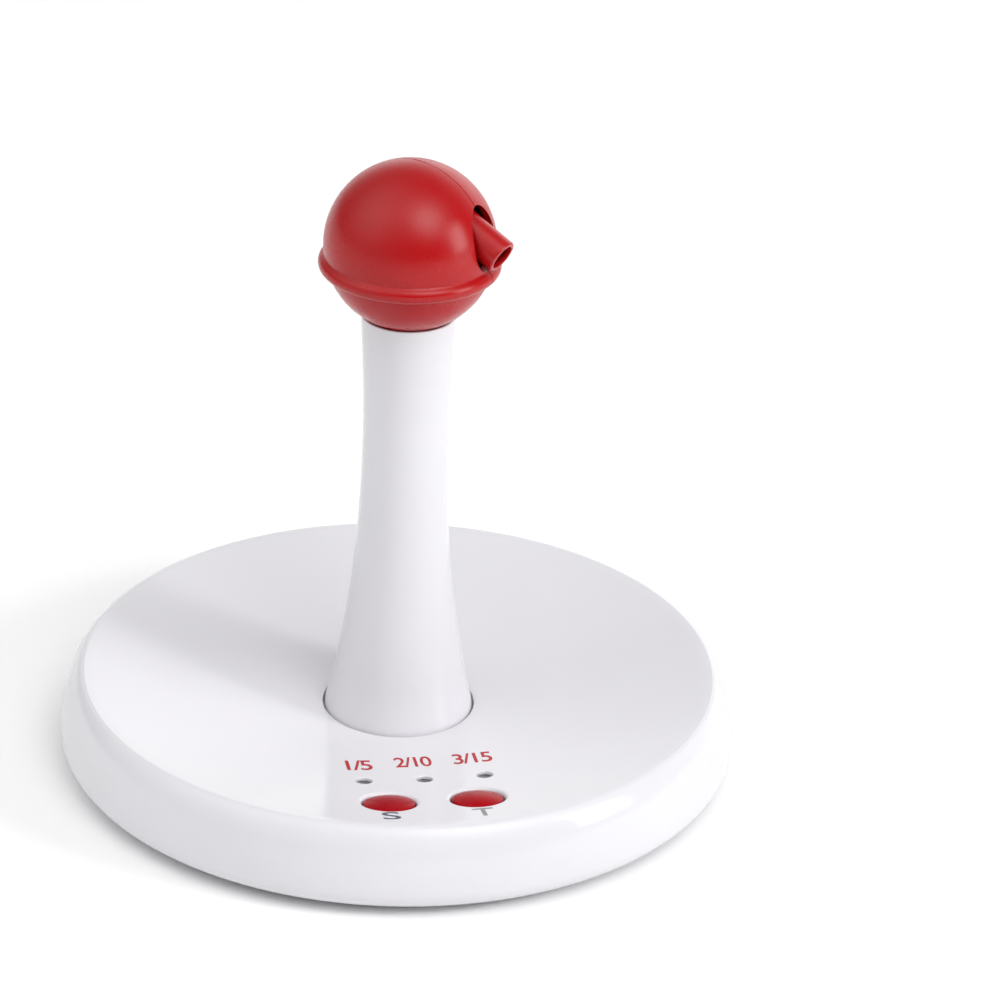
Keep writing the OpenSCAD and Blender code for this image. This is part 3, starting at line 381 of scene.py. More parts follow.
def build_worn_edge():
    """1 on corners that stick out, broken up by noise, and 0 elsewhere."""
    group, given, out = new_group("worn_edge", [("Width", 0.0004), ("Breaks", 900.0)], ["Mask"])
    rounded = add_node(group, "ShaderNodeBevel", {"samples": 4}, {"Radius": given.outputs["Width"]})
    plain = add_node(group, "ShaderNodeNewGeometry")
    likeness = add_node(group, "ShaderNodeVectorMath", {"operation": "DOT_PRODUCT"}, {
        0: rounded.outputs["Normal"], 1: plain.outputs["Normal"]}).outputs["Value"]
    edge = remap(group, likeness, 0.98, 0.8, 0.0, 1.0)
    broken = remap(group, noise(group, given.outputs["Breaks"], 3.0), 0.35, 0.6, 0.2, 1.0)
    group.links.new(calc(group, "MULTIPLY", edge, broken), out.inputs["Mask"])
    return group


def build_dust():
    """Sparse specks, more of them on faces that look up."""
    group, given, out = new_group("dust", [("Scale", 1500.0), ("Amount", 0.5)], ["Mask"])
    specks = noise(group, given.outputs["Scale"], 2.0, 0.7)
    patches = noise(group, 60.0, 2.0)
    normal = add_node(group, "ShaderNodeNewGeometry").outputs["Normal"]
    up = add_node(group, "ShaderNodeSeparateXYZ", None, {0: normal}).outputs["Z"]
    mask = remap(group, specks, 0.7, 0.8, 0.0, 1.0)
    mask = calc(group, "MULTIPLY", mask, remap(group, patches, 0.35, 0.65, 0.2, 1.0))
    mask = calc(group, "MULTIPLY", mask, remap(group, up, 0.0, 0.9, 0.1, 1.0))
    group.links.new(calc(group, "MULTIPLY", mask, given.outputs["Amount"]), out.inputs["Mask"])
    return group


GRAIN, DRIFT, WORN_EDGE, DUST = build_grain(), build_drift(), build_worn_edge(), build_dust()
print("node groups:", [group.name for group in (GRAIN, DRIFT, WORN_EDGE, DUST)])

# %% [markdown]
# ## Finishes
#
# One recipe makes every finish: a base colour that drifts between two close shades, a roughness
# that drifts too, a lighter or darker edge, a little dust, and a bump from the grain. The numbers
# are what set glossy moulded plastic apart from rubber, nickel or nylon.

# %% The recipe
def use_group(tree, group, **values):
    """Places a node group in a material, with its own values."""
    node = tree.nodes.new("ShaderNodeGroup")
    node.node_tree = group
    for key, value in values.items():
        node.inputs[key].default_value = value
    return node


def blend(tree, factor, a, b):
    """Mixes two colours; each is a socket or an RGB triple."""
    node = add_node(tree, "ShaderNodeMix", {"data_type": "RGBA"})
    for key, value in (("A", a), ("B", b)):
        socket = [s for s in node.inputs if s.name == key and s.type == "RGBA"][0]
        if isinstance(value, bpy.types.NodeSocket):
            tree.links.new(value, socket)
        else:
            socket.default_value = (*value, 1)
    factor_socket = [s for s in node.inputs if s.name == "Factor" and s.type == "VALUE"][0]
    tree.links.new(factor, factor_socket)
    return [s for s in node.outputs if s.type == "RGBA"][0]


def finish(name, colour, shade, edge_colour=None, rough=(0.3, 0.4), grain=4000.0, peel=0.4,
           bump=0.02, depth=0.00002, drift=20.0, edge=0.0004, dust=0.3, dust_colour=(0.55, 0.53, 0.5),
           **constants):
    """Makes one material. constants are set straight on the shader's sockets."""
    material = bpy.data.materials.new(name)
    material.use_nodes = True
    tree = material.node_tree
    shader = tree.nodes["Principled BSDF"]
    for key, value in constants.items():
        shader.inputs[key.replace("_", " ").title().replace("Ior", "IOR")].default_value = value
    shade_mask = use_group(tree, DRIFT, Scale=drift).outputs["Shade"]
    wear = use_group(tree, WORN_EDGE, Width=edge).outputs["Mask"]
    specks = use_group(tree, DUST, Amount=dust).outputs["Mask"]
    tone = blend(tree, shade_mask, colour, shade)
    tone = blend(tree, wear, tone, edge_colour or shade)
    tone = blend(tree, specks, tone, dust_colour)
    tree.links.new(tone, shader.inputs["Base Color"])
    roughness = remap(tree, noise(tree, drift * 4, 3.0), 0.3, 0.7, rough[0], rough[1])
    roughness = calc(tree, "ADD", roughness, calc(tree, "MULTIPLY", specks, 0.3))
    tree.links.new(roughness, shader.inputs["Roughness"])
    ripple = use_group(tree, GRAIN, Scale=grain, Peel=peel).outputs["Height"]
    bumped = add_node(tree, "ShaderNodeBump", None, {
        "Strength": bump, "Distance": depth, "Height": ripple})
    tree.links.new(bumped.outputs["Normal"], shader.inputs["Normal"])
    return material


# %% All the finishes
FINISHES = {
    "white_shell": finish("gloss_white_abs", (0.746, 0.737, 0.768), (0.722, 0.713, 0.745),
                          edge_colour=(0.86, 0.86, 0.87), rough=(0.10, 0.17), grain=2600.0, peel=1.0,
                          bump=0.25, depth=0.00001, drift=14.0, dust=0.12,
                          specular_ior_level=0.4),
    "white_plain": finish("matt_white_abs", (0.70, 0.70, 0.71), (0.64, 0.645, 0.66),
                          edge_colour=(0.8, 0.8, 0.8), rough=(0.38, 0.5), grain=5200.0, bump=0.5,
                          depth=0.00003, dust=0.4),
    "red_ball": finish("semi_gloss_red_abs", (0.43, 0.004, 0.006), (0.39, 0.003, 0.005),
                       edge_colour=(0.45, 0.02, 0.02), rough=(0.25, 0.32), grain=3800.0,
                       bump=0.3, depth=0.00002, drift=26.0, edge=0.0003, dust=0.01,
                       dust_colour=(0.4, 0.1, 0.09), specular_ior_level=0.4),
    "red_button": finish("gloss_red_abs", (0.37, 0.002, 0.006), (0.32, 0.001, 0.008),
                         edge_colour=(0.5, 0.03, 0.05), rough=(0.06, 0.1), grain=2600.0, bump=0.15,
                         depth=0.00001, drift=60.0, edge=0.0002, dust=0.01,
                         specular_ior_level=0.05),
    "rubber": finish("soft_grey_rubber", (0.10, 0.10, 0.105), (0.07, 0.07, 0.075),
                     edge_colour=(0.16, 0.16, 0.16), rough=(0.7, 0.85), grain=6000.0, bump=0.6,
                     depth=0.00005, drift=120.0, dust=0.8),
    "steel": finish("zinc_plated_steel", (0.62, 0.63, 0.64), (0.52, 0.54, 0.57),
                    edge_colour=(0.78, 0.78, 0.78), rough=(0.2, 0.34), grain=5000.0, bump=0.3,
                    drift=160.0, edge=0.0002, dust=0.1, metallic=1.0),
    "spring_steel": finish("nickel_plated_strip", (0.72, 0.70, 0.66), (0.6, 0.59, 0.56),
                           edge_colour=(0.85, 0.84, 0.8), rough=(0.16, 0.28), grain=5000.0,
                           bump=0.2, drift=200.0, edge=0.0002, dust=0.05, metallic=1.0),
    "cell_jacket": finish("printed_cell_sleeve", (0.16, 0.24, 0.36), (0.12, 0.19, 0.3),
                          edge_colour=(0.4, 0.45, 0.5), rough=(0.25, 0.35), grain=3000.0, bump=0.2,
                          drift=90.0, dust=0.1),
    "board": finish("solder_masked_board", (0.015, 0.13, 0.05), (0.02, 0.17, 0.07),
                    edge_colour=(0.45, 0.4, 0.2), rough=(0.25, 0.4), grain=7000.0, bump=0.5,
                    drift=300.0, edge=0.0002, dust=0.2),
    "black_plastic": finish("moulded_black_nylon", (0.022, 0.022, 0.024), (0.032, 0.032, 0.034),
                            edge_colour=(0.12, 0.12, 0.12), rough=(0.4, 0.55), grain=5200.0,
                            bump=0.5, drift=100.0, edge=0.0002, dust=0.3),
    "blue_sleeve": finish("capacitor_sleeve", (0.02, 0.06, 0.2), (0.015, 0.045, 0.16),
                          edge_colour=(0.2, 0.25, 0.35), rough=(0.2, 0.3), grain=3000.0, bump=0.2,
                          drift=200.0, dust=0.1),
    "natural_nylon": finish("natural_acetal", (0.78, 0.75, 0.66), (0.70, 0.67, 0.58),
                            edge_colour=(0.85, 0.84, 0.8), rough=(0.3, 0.42), grain=5200.0,
                            bump=0.3, drift=120.0, edge=0.0002, dust=0.1),
    "brass": finish("turned_brass", (0.72, 0.48, 0.18), (0.6, 0.39, 0.14),
                    edge_colour=(0.85, 0.65, 0.35), rough=(0.18, 0.3), grain=5200.0, bump=0.3,
                    drift=200.0, edge=0.0002, dust=0.05, metallic=1.0),
    "copper": finish("bright_copper", (0.78, 0.36, 0.2), (0.62, 0.27, 0.15),
                     edge_colour=(0.9, 0.55, 0.4), rough=(0.2, 0.35), grain=5200.0, bump=0.3,
                     drift=200.0, edge=0.0002, dust=0.05, metallic=1.0),
    "wire_jacket": finish("soft_wire_jacket", (0.45, 0.03, 0.025), (0.36, 0.025, 0.02),
                          edge_colour=(0.5, 0.1, 0.1), rough=(0.4, 0.5), grain=5200.0, bump=0.2,
                          drift=120.0, dust=0.2),
    "lens": finish("ruby_lens", (0.5, 0.02, 0.02), (0.4, 0.01, 0.012), edge_colour=(0.7, 0.2, 0.2),
                   rough=(0.02, 0.05), grain=2600.0, bump=0.05, drift=200.0, dust=0.02,
                   transmission_weight=0.6, ior=1.5),
}
print("finishes:", len(FINISHES))

# %% [markdown]
# ## Base shell
#
# The base is one injection moulding: a rolled outer wall, a small raised lip, and a shallow dish
# that falls to a recess for the column. It is spun in 320 steps, because a glossy wall shows every
# facet. The holes are cut afterwards with cutters that have their own rolled edge, as the mould has.
# Under each lamp hole a wider pocket thins the wall, so that the eye looks past it into the dark.

# %% Base shell: sizes and curve
# Lengths in millimetres: _R is a radius from the column's axis, _Z a height above the table
BASE_R, RIM_R, RIM_Z = 100.0, 92.2, 27.1
BELLY_Z, EDGE_R, EDGE_Z, WALL = 8.3, 92.5, 2.0, 2.2
DISH_LOW, DISH_SAG = 15.5, 1.7
COLUMN_FOOT_R, RECESS_R, RECESS_Z = 21.85, 22.4, 12.5
HUB_FLOOR_Z, CABLE_HOLE_R = 10.3, 8.0
UNDER_R = RIM_R - 2 * WALL
COLUMN_SCREW_RING = 16.25


def dish_z(r):
    """Height of the dish at radius r."""
    share = (r - RECESS_R) / (RIM_R - RECESS_R)
    return DISH_LOW + (RIM_Z - DISH_LOW) * share - 4 * DISH_SAG * share * (1 - share)


def dish_slope(r):
    """Slope of the dish at radius r, in degrees."""
    share = (r - RECESS_R) / (RIM_R - RECESS_R)
    rise = RIM_Z - DISH_LOW - 4 * DISH_SAG * (1 - 2 * share)
    return math.degrees(math.atan2(rise, RIM_R - RECESS_R))


def between(low, high, steps):
    """Evenly spaced numbers from low to high, both included."""
    return [low + (high - low) * i / steps for i in range(steps + 1)]


print("dish falls", round(dish_z(RIM_R) - dish_z(RECESS_R), 1), "mm")

# %% Base shell: moulding
BASE_STEPS = 320
# The wall rolls over to the rim in a superellipse of this power, which ends outside the lip
ROLL_POWER = 1.75
CREST_R = RIM_R + 1.0
LIP_R, LIP_RISE = 0.62, 0.55
UNDER_TOP = dish_z(UNDER_R) - WALL - 0.6


def shell_outline():
    """Closed outline, from the outer wall's bottom edge, up, inwards, and back underneath."""
    outer = arc(EDGE_R, BELLY_Z, BASE_R - EDGE_R, BELLY_Z - EDGE_Z, -90, 0, 14)
    reach = BASE_R - CREST_R
    roll = [(CREST_R + reach * (1 - u ** ROLL_POWER) ** (1 / ROLL_POWER),
             BELLY_Z + (RIM_Z - 0.05 - BELLY_Z) * u)
            for u in [math.sin(math.radians(t)) for t in between(4, 84, 28)]]
    crest = arc(RIM_R + 0.75, RIM_Z - LIP_RISE, LIP_R, LIP_RISE, 50, 106, 7)
    dish = [(r, dish_z(r)) for r in between(RIM_R - 0.7, RECESS_R + 0.5, 56)]
    dish += [(RECESS_R + 0.12, dish_z(RECESS_R) - 0.1), (RECESS_R, dish_z(RECESS_R) - 0.5)]
    hub = [(RECESS_R, RECESS_Z), (CABLE_HOLE_R, RECESS_Z), (CABLE_HOLE_R, HUB_FLOOR_Z),
           (RECESS_R + WALL, HUB_FLOOR_Z)]
    under = [(r, dish_z(r) - WALL / math.cos(math.radians(dish_slope(r))))
             for r in between(RECESS_R + WALL, UNDER_R, 24)]
    inner = arc(UNDER_R, BELLY_Z, BASE_R - WALL - UNDER_R, UNDER_TOP - BELLY_Z, 84, 0, 14)
    return outer + roll + crest + dish + hub + under + inner + [(EDGE_R - WALL, EDGE_Z)]


shell = made("shell_moulding", spun(shell_outline(), BASE_STEPS))
print("shell moulding:", len(shell.data.polygons), "faces")

# %% [markdown]
# The controls lie in a plane of their own, tangent to the dish halfway between the lamps and the
# buttons. Its frame is a matrix, and everything on the control panel is placed with it.

# %% Base shell: holes and bosses
BUTTON_X, BUTTON_RING_Y, LAMP_RING_Y, LAMP_PITCH = 12.7, 70.9, 53.3, 17.5
FACE_R = (BUTTON_RING_Y + LAMP_RING_Y) / 2 + 4
FACE_TILT = dish_slope(FACE_R)
PANEL = moved(0, -FACE_R, dish_z(FACE_R)) @ turned(-FACE_TILT, "X")
BUTTON_Y = -(BUTTON_RING_Y - FACE_R) / math.cos(math.radians(FACE_TILT))
LAMP_Y = -(LAMP_RING_Y - FACE_R) / math.cos(math.radians(FACE_TILT))
BUTTON_R, BUTTON_HOLE_R, BUTTON_ROLL = 7.4, 7.85, 1.1
LAMP_HOLE_R, LAMP_ROLL, LAMP_POCKET_R, LAMP_SKIN = 2.4, 0.35, 3.1, 0.9
BASE_POST_RING, BASE_POST_R, BASE_POST_LOW = 80.0, 3.4, 6.6
BOARD_TOP, BOARD_POST_R = -11.2, 2.4
BOARD_SCREWS = [(side * 25.2, y) for side in (-1, 1) for y in (-10, 7)]
COLUMN_ANGLES = (90, 210, 330)
# Radii of the holes: a large and a small screw's thread, and the large screw's shank
BORE_LARGE, BORE_SMALL, SHANK = 1.43, 1.03, 1.6


def dish_frame(x, y):
    """Frame on the dish where the panel's axis at (x, y) meets it, with Z along the dish's normal."""
    lift = 0.0
    for _ in range(6):
        spot = PANEL @ Vector((x, y, lift))
        lift += dish_z(spot.xy.length) - spot.z
    lean = math.radians(dish_slope(spot.xy.length))
    inward = -spot.xy.normalized()
    normal = Vector((inward.x * math.sin(lean), inward.y * math.sin(lean), math.cos(lean)))
    return Matrix.Translation(spot) @ normal.to_track_quat("Z", "Y").to_matrix().to_4x4()


def roll_cutter(radius, roll, rise, x, y, steps):
    """Rolls the upper edge of a round hole; rise is how far the dish stands up at the roll's edge."""
    flare = [(radius + roll - roll * math.cos(math.radians(t)),
              rise - roll + roll * math.sin(math.radians(t))) for t in between(0, 84, 9)]
    edge, height = flare[-1]
    points = [(0, rise - roll), (radius, rise - roll)] + flare[1:]
    points += [(edge + 1, height + 0.13), (edge + 1, 3), (0, 3)]
    return made("cutter", spun(points, steps), dish_frame(x, y))


posts, bores = [], []
for angle in (60, 120, 240, 300):
    spot = turned(angle, "Z") @ moved(BASE_POST_RING, 0, 0)
    posts.append(rod(BASE_POST_R, BASE_POST_LOW, dish_z(BASE_POST_RING) - WALL / 2, spot))
    bores.append(rod(BORE_LARGE, 6.0, 14.6, spot))
for x, y in BOARD_SCREWS:
    posts.append(rod(BOARD_POST_R, BOARD_TOP, -WALL / 4, PANEL @ moved(x, y, 0)))
    bores.append(rod(BORE_SMALL, BOARD_TOP - 1, BOARD_TOP + 6, PANEL @ moved(x, y, 0)))
for angle in COLUMN_ANGLES:
    spot = turned(angle, "Z") @ moved(COLUMN_SCREW_RING, 0, 0)
    bores.append(rod(SHANK, HUB_FLOOR_Z - 1, RECESS_Z + 1, spot))
rolls = []
for side in (-1, 1):
    bores.append(rod(BUTTON_HOLE_R, -4.4, 4, PANEL @ moved(side * BUTTON_X, BUTTON_Y, 0), 128))
    rolls.append(roll_cutter(BUTTON_HOLE_R, BUTTON_ROLL, 0.1, side * BUTTON_X, BUTTON_Y, 128))
for place in (-1, 0, 1):
    bores.append(rod(LAMP_HOLE_R, -4.4, 4, PANEL @ moved(place * LAMP_PITCH, LAMP_Y, 0), 64))
    rolls.append(roll_cutter(LAMP_HOLE_R, LAMP_ROLL, 0.01, place * LAMP_PITCH, LAMP_Y, 64))
    rolls.append(rod(LAMP_POCKET_R, -5, -LAMP_SKIN, dish_frame(place * LAMP_PITCH, LAMP_Y), 64))
combine(shell, posts, "UNION")
combine(shell, bores, "DIFFERENCE")
combine(shell, rolls, "DIFFERENCE")
smoothed(shell)
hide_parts("base_shell")
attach(shell, "base")
print("shell with holes:", len(shell.data.polygons), "faces")

# %% [markdown]
# ## Column
#
# The column is a hollow flared tube, moulded in one piece with three screw bosses in its foot and
# two lugs for the gear motor. Its outside follows one power curve below the waist and another above
# it, so it is spun from those curves, and the corners of the outline are eased before the spin.

# %% Column
WAIST_R, WAIST_Z, TOP_FLARE = 12.3, 109.0, 1.35
FOOT_POWER, TOP_POWER = 2.3, 1.5
COLUMN_TOP_Z, COLUMN_WALL = 141.5, 2.0
BALL_Z, BALL_R, HEAD_GAP = 162.683, 24.7, 0.5
SEAT_R, SEAT_Z, BORE_R = 10.9, 124.0, 10.3
LUG_Y, LUG_R, LUG_LOW, LUG_BORE = 8.6, 2.2, 117.2, 0.83
COLUMN_POST_R = 3.2


def column_r(z):
    """Outside radius of the column at height z."""
    if z < WAIST_Z:
        return WAIST_R + (COLUMN_FOOT_R - WAIST_R) * ((WAIST_Z - z) / (WAIST_Z - DISH_LOW)) ** FOOT_POWER
    return WAIST_R + TOP_FLARE * ((z - WAIST_Z) / (COLUMN_TOP_Z - WAIST_Z)) ** TOP_POWER


def column_outline():
    """Closed outline: up the outside, over the rim, and down through the cup and the bore."""
    cup_z = BALL_Z - math.sqrt((BALL_R + HEAD_GAP) ** 2 - SEAT_R ** 2)
    low = [(column_r(z), z) for z in between(DISH_LOW, WAIST_Z, 60)]
    high = [(column_r(z), z) for z in between(WAIST_Z, COLUMN_TOP_Z - 0.4, 24)[1:]]
    top_r = column_r(COLUMN_TOP_Z)
    rim = arc(top_r - 0.4, COLUMN_TOP_Z - 0.4, 0.4, 0.35, 10, 120, 6)
    cup = [(SEAT_R + 0.1, cup_z + 0.02), (SEAT_R, cup_z - 0.15), (SEAT_R, SEAT_Z),
           (BORE_R, SEAT_Z), (BORE_R, WAIST_Z)]
    bore = [(column_r(max(z, DISH_LOW)) - COLUMN_WALL, z)
            for z in between(WAIST_Z, RECESS_Z + COLUMN_WALL, 30)[1:]]
    foot = [(COLUMN_FOOT_R - COLUMN_WALL, RECESS_Z), (COLUMN_FOOT_R - 0.3, RECESS_Z),
            (COLUMN_FOOT_R, RECESS_Z + 0.3)]
    return low + high + rim + cup + bore + foot


column = made("column_moulding", spun(column_outline(), 240))
posts, bores = [], []
for side in (-1, 1):
    spot = moved(0, side * LUG_Y, 0)
    posts.append(rod(LUG_R, LUG_LOW, SEAT_Z - 1.4, spot))
    bores.append(rod(LUG_BORE, LUG_LOW - 1, LUG_LOW + 19, spot))
for angle in COLUMN_ANGLES:
    spot = turned(angle, "Z") @ moved(COLUMN_SCREW_RING, 0, 0)
    posts.append(rod(COLUMN_POST_R, RECESS_Z, RECESS_Z + 11, spot))
    bores.append(rod(BORE_LARGE, RECESS_Z - 1, RECESS_Z + 9, spot))
combine(column, posts, "UNION")
combine(column, bores, "DIFFERENCE")
smoothed(column)
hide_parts("column")
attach(column, "base")
print("column:", len(column.data.polygons), "faces")

# %% [markdown]
# ## Ball head
#
# The ball is two shells, screwed together on an upright split plane that lies a little off the
# turning axis. A half-round bead runs round it below the middle. Both halves come from one solid: a
# ball is spun with its bead, its inside is hollowed with posts and shelf left standing, the laser's
# slot is cut, and the result is halved. A V-shaped groove cut along the split plane first stands for
# the broken edges of the two mouldings, and makes the fine line that shows where they meet.

# %% Ball head: sizes and frame
HEAD_TURN, SPLIT_Y = -42.3, 3.5
BALL_IN_R, SHELF_Z, HUB_R = 22.7, -19.0, 5.0
BEAD_R, BEAD_H, BEAD_DROP = 26.1, 4.7, 5.4
TUBE_R, TUBE_SLOPE, TUBE_OFFSET = 5.0, 25.7, 14.6
OPENING_GAP, OPENING_RAISE, PIVOT_T = 1.6, 4.0, -2.0
PIVOT_R, PIVOT_LEN = 1.5, 3.2
BALL_POSTS, BALL_POST_R = [(-14, 9), (-14, -9), (13, -10)], 3.0
BALL_SCREW_BORE, BALL_HEAD_BORE, HUB_SCREW_X = 1.13, 2.3, 8.2
PIVOT_CLEAR, PIVOT_WALL = 0.08, 1.9
RIM_EASE = 0.25
HEAD = moved(0, 0, BALL_Z) @ turned(HEAD_TURN, "Z")
slope = math.radians(TUBE_SLOPE)
TUBE = moved(TUBE_OFFSET * math.sin(slope), SPLIT_Y, TUBE_OFFSET * math.cos(slope)) \
    @ turned(90 + TUBE_SLOPE, "Y")
PIVOT = Vector((TUBE_OFFSET * math.sin(slope) + PIVOT_T * math.cos(slope), SPLIT_Y,
                TUBE_OFFSET * math.cos(slope) - PIVOT_T * math.sin(slope)))
ACROSS = turned(90, "X")
print("pivot at", [round(v, 2) for v in HEAD @ PIVOT], "mm")


# %% Ball head: solid ball with its bead
def ball_outline():
    """Half outline of the ball, with the bead, from the bottom pole to the top pole."""
    core = BEAD_R - BEAD_H / 2
    reach = math.hypot(core, BEAD_DROP)
    along = (BALL_R ** 2 - (BEAD_H / 2) ** 2 + reach ** 2) / (2 * reach)
    half = math.degrees(math.acos(along / BALL_R))
    middle = math.degrees(math.atan2(-BEAD_DROP, core))
    low, high = middle - half, middle + half

    def on_bead(angle):
        """Angle, seen from the bead's own centre, of the ball's point at angle."""
        x, z = BALL_R * math.cos(math.radians(angle)), BALL_R * math.sin(math.radians(angle))
        return math.degrees(math.atan2(z + BEAD_DROP, x - core))

    under = arc(0, 0, BALL_R, BALL_R, -90, low - 0.7, 34)
    bead = arc(core, -BEAD_DROP, BEAD_H / 2, BEAD_H / 2, on_bead(low) + 9, on_bead(high) - 9, 20)
    over = arc(0, 0, BALL_R, BALL_R, high + 0.7, 90, 44)
    return under + bead + over


def capped(outline_points, steps):
    """Spins an open half outline whose ends lie on the axis."""
    points = [(max(x, 0.0) if i not in (0, len(outline_points) - 1) else 0.0, z)
              for i, (x, z) in enumerate(outline_points)]
    return spun(points, steps)


def seam_groove():
    """A V-shaped ring that follows the ball and its bead where the split plane cuts them."""
    across = [(math.sqrt(x * x - SPLIT_Y ** 2), z) for x, z in ball_outline() if x > SPLIT_Y + 1]
    loop = across + [(-x, z) for x, z in reversed(across)]
    bm = bmesh.new()
    rings = []
    for i, (x, z) in enumerate(loop):
        before, after = Vector(loop[i - 1]), Vector(loop[(i + 1) % len(loop)])
        along = (after - before).normalized()
        out = Vector((along.y, -along.x))
        low, high = Vector((x, z)) - out * SEAM_DEPTH, Vector((x, z)) + out * SEAM_DEPTH
        rings.append([bm.verts.new((low.x, SPLIT_Y, low.y)),
                      bm.verts.new((high.x, SPLIT_Y + 2 * SEAM_HALF, high.y)),
                      bm.verts.new((high.x, SPLIT_Y - 2 * SEAM_HALF, high.y))])
    for ring in rings:
        for a, b in zip(ring, ring[1:] + ring[:1]):
            bm.edges.new((a, b))
    for ring, other in zip(rings, rings[1:] + rings[:1]):
        edges = [bm.edges.get((a, b)) for part in (ring, other)
                 for a, b in zip(part, part[1:] + part[:1])]
        bmesh.ops.bridge_loops(bm, edges=edges)
    bmesh.ops.scale(bm, vec=(MM, MM, MM), verts=bm.verts[:])
    bmesh.ops.recalc_face_normals(bm, faces=bm.faces[:])
    return made("groove", bm)


BALL_STEPS = 208
SEAM_HALF, SEAM_DEPTH = 0.22, 0.3
ball = made("ball", capped(ball_outline(), BALL_STEPS))
combine(ball, seam_groove(), "DIFFERENCE")
cavity = made("cavity", capped(arc(0, 0, BALL_IN_R, BALL_IN_R, -90, 90, 48), 144))
combine(cavity, block((-30, -30, -30), (30, 30, SHELF_Z)), "DIFFERENCE")
for x, z in BALL_POSTS:
    combine(cavity, rod(BALL_POST_R, -30, 30, moved(x, 0, z) @ ACROSS), "DIFFERENCE")
for side in (-1, 1):
    socket = moved(PIVOT.x, SPLIT_Y + side * (TUBE_R + 0.6), PIVOT.z) @ turned(-90 * side, "X")
    combine(cavity, rod(PIVOT_R + PIVOT_WALL, 0, 30, socket), "DIFFERENCE")
print("ball:", len(ball.data.polygons), "faces, cavity:", len(cavity.data.polygons))


# %% Ball head: slot, holes and halves
def tilted(angle):
    """The tube's frame after the laser is tilted up by angle, in degrees."""
    return Matrix.Translation(PIVOT) @ turned(-angle, "Y") @ Matrix.Translation(-PIVOT) @ TUBE


for angle in between(0, OPENING_RAISE, 2):
    combine(ball, rod(TUBE_R + OPENING_GAP, 0, 40, tilted(angle), 96), "DIFFERENCE")
combine(ball, cavity, "DIFFERENCE")
combine(ball, rod(HUB_R + 0.4, -40, -10), "DIFFERENCE")
for side in (-1, 1):
    combine(ball, rod(BORE_SMALL, SHELF_Z - 3.6, SHELF_Z + 1, moved(0, side * HUB_SCREW_X, 0)),
            "DIFFERENCE")
combine(ball, rod(PIVOT_R + PIVOT_CLEAR, -TUBE_R - PIVOT_LEN - 0.4, TUBE_R + PIVOT_LEN + 0.4,
                  Matrix.Translation(PIVOT) @ ACROSS), "DIFFERENCE")
for x, z in BALL_POSTS:
    seat = moved(x, SPLIT_Y + 5, z) @ ACROSS
    combine(ball, rod(BALL_SCREW_BORE, -1, 15.5, seat), "DIFFERENCE")
    combine(ball, rod(BALL_HEAD_BORE, -49.4, 0, seat), "DIFFERENCE")


def half_ball(name, side, node):
    """One half of the ball, with the rim of the laser's slot eased."""
    half = made(name, bmesh.new())
    half.data = ball.data.copy()
    half.data.name = name
    far = 60 * side
    combine(half, block((-60, min(SPLIT_Y, far), -60), (60, max(SPLIT_Y, far), 60)), "INTERSECT")
    bm = bmesh.new()
    bm.from_mesh(half.data)
    bmesh.ops.remove_doubles(bm, verts=bm.verts[:], dist=0.04 * MM)
    bmesh.ops.dissolve_degenerate(bm, edges=bm.edges[:], dist=1e-6)

    def outside(face):
        return face.calc_center_median().length > (BALL_R - 0.1) * MM

    rims = []
    for edge in bm.edges:
        if len(edge.link_faces) != 2 or edge.calc_face_angle(0) < math.radians(35):
            continue
        if sum(outside(face) for face in edge.link_faces) != 1:
            continue
        middle = (edge.verts[0].co + edge.verts[1].co) / 2 / MM
        if middle.z > -4 and abs(middle.y - SPLIT_Y) > 2 * SEAM_HALF and middle.x > 0 \
                and not any(math.hypot(middle.x - x, middle.z - z) < BALL_HEAD_BORE + 0.3
                            for x, z in BALL_POSTS):
            rims.append(edge)
    bmesh.ops.bevel(bm, geom=rims, offset=RIM_EASE * MM, offset_type="OFFSET", segments=3, profile=0.5,
                    affect="EDGES", clamp_overlap=True, material=-1)
    bmesh.ops.transform(bm, matrix=scaled(HEAD), verts=bm.verts[:])
    bm.to_mesh(half.data)
    bm.free()
    smoothed(half)
    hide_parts(node)
    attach(half, "head")
    print(name, len(half.data.polygons), "faces,", len(rims), "rim edges eased")
    return half


ball_front = half_ball("ball_front_moulding", -1, "ball_front")
ball_back = half_ball("ball_back_moulding", 1, "ball_back")
bpy.data.objects.remove(ball)

# %% [markdown]
# ## Laser tube
#
# A short open tube carries the laser module. Its mouth is rolled on the outside and closed in by a
# flat ring, which gives the pale ring that the eye picks up. Two pins on its sides turn in sockets
# in the ball.

# %% Laser tube
TUBE_BORE_R, TUBE_AHEAD, TUBE_BEHIND = 4.25, 24.9, 8.0
MOUTH_BORE_R, MOUTH_ROLL, MOUTH_LEN, MOUTH_EASE = 3.75, 0.6, 1.2, 0.15


def tube_outline():
    """Closed outline of the tube on its own axis, with its mouth at the top."""
    tip = TUBE_AHEAD - MOUTH_ROLL
    mouth = arc(TUBE_R - MOUTH_ROLL, tip, MOUTH_ROLL, MOUTH_ROLL, 0, 90, 8)
    mouth += arc(MOUTH_BORE_R + MOUTH_EASE, TUBE_AHEAD - MOUTH_EASE, MOUTH_EASE, MOUTH_EASE,
                 90, 180, 4)
    mouth += [(MOUTH_BORE_R, TUBE_AHEAD - MOUTH_LEN), (TUBE_BORE_R, TUBE_AHEAD - MOUTH_LEN)]
    tail = [(TUBE_BORE_R, -TUBE_BEHIND), (TUBE_R - 0.2, -TUBE_BEHIND),
            (TUBE_R, -TUBE_BEHIND + 0.2)]
    return tail + [(TUBE_R, z) for z in between(-6, tip - 1, 8)] + mouth


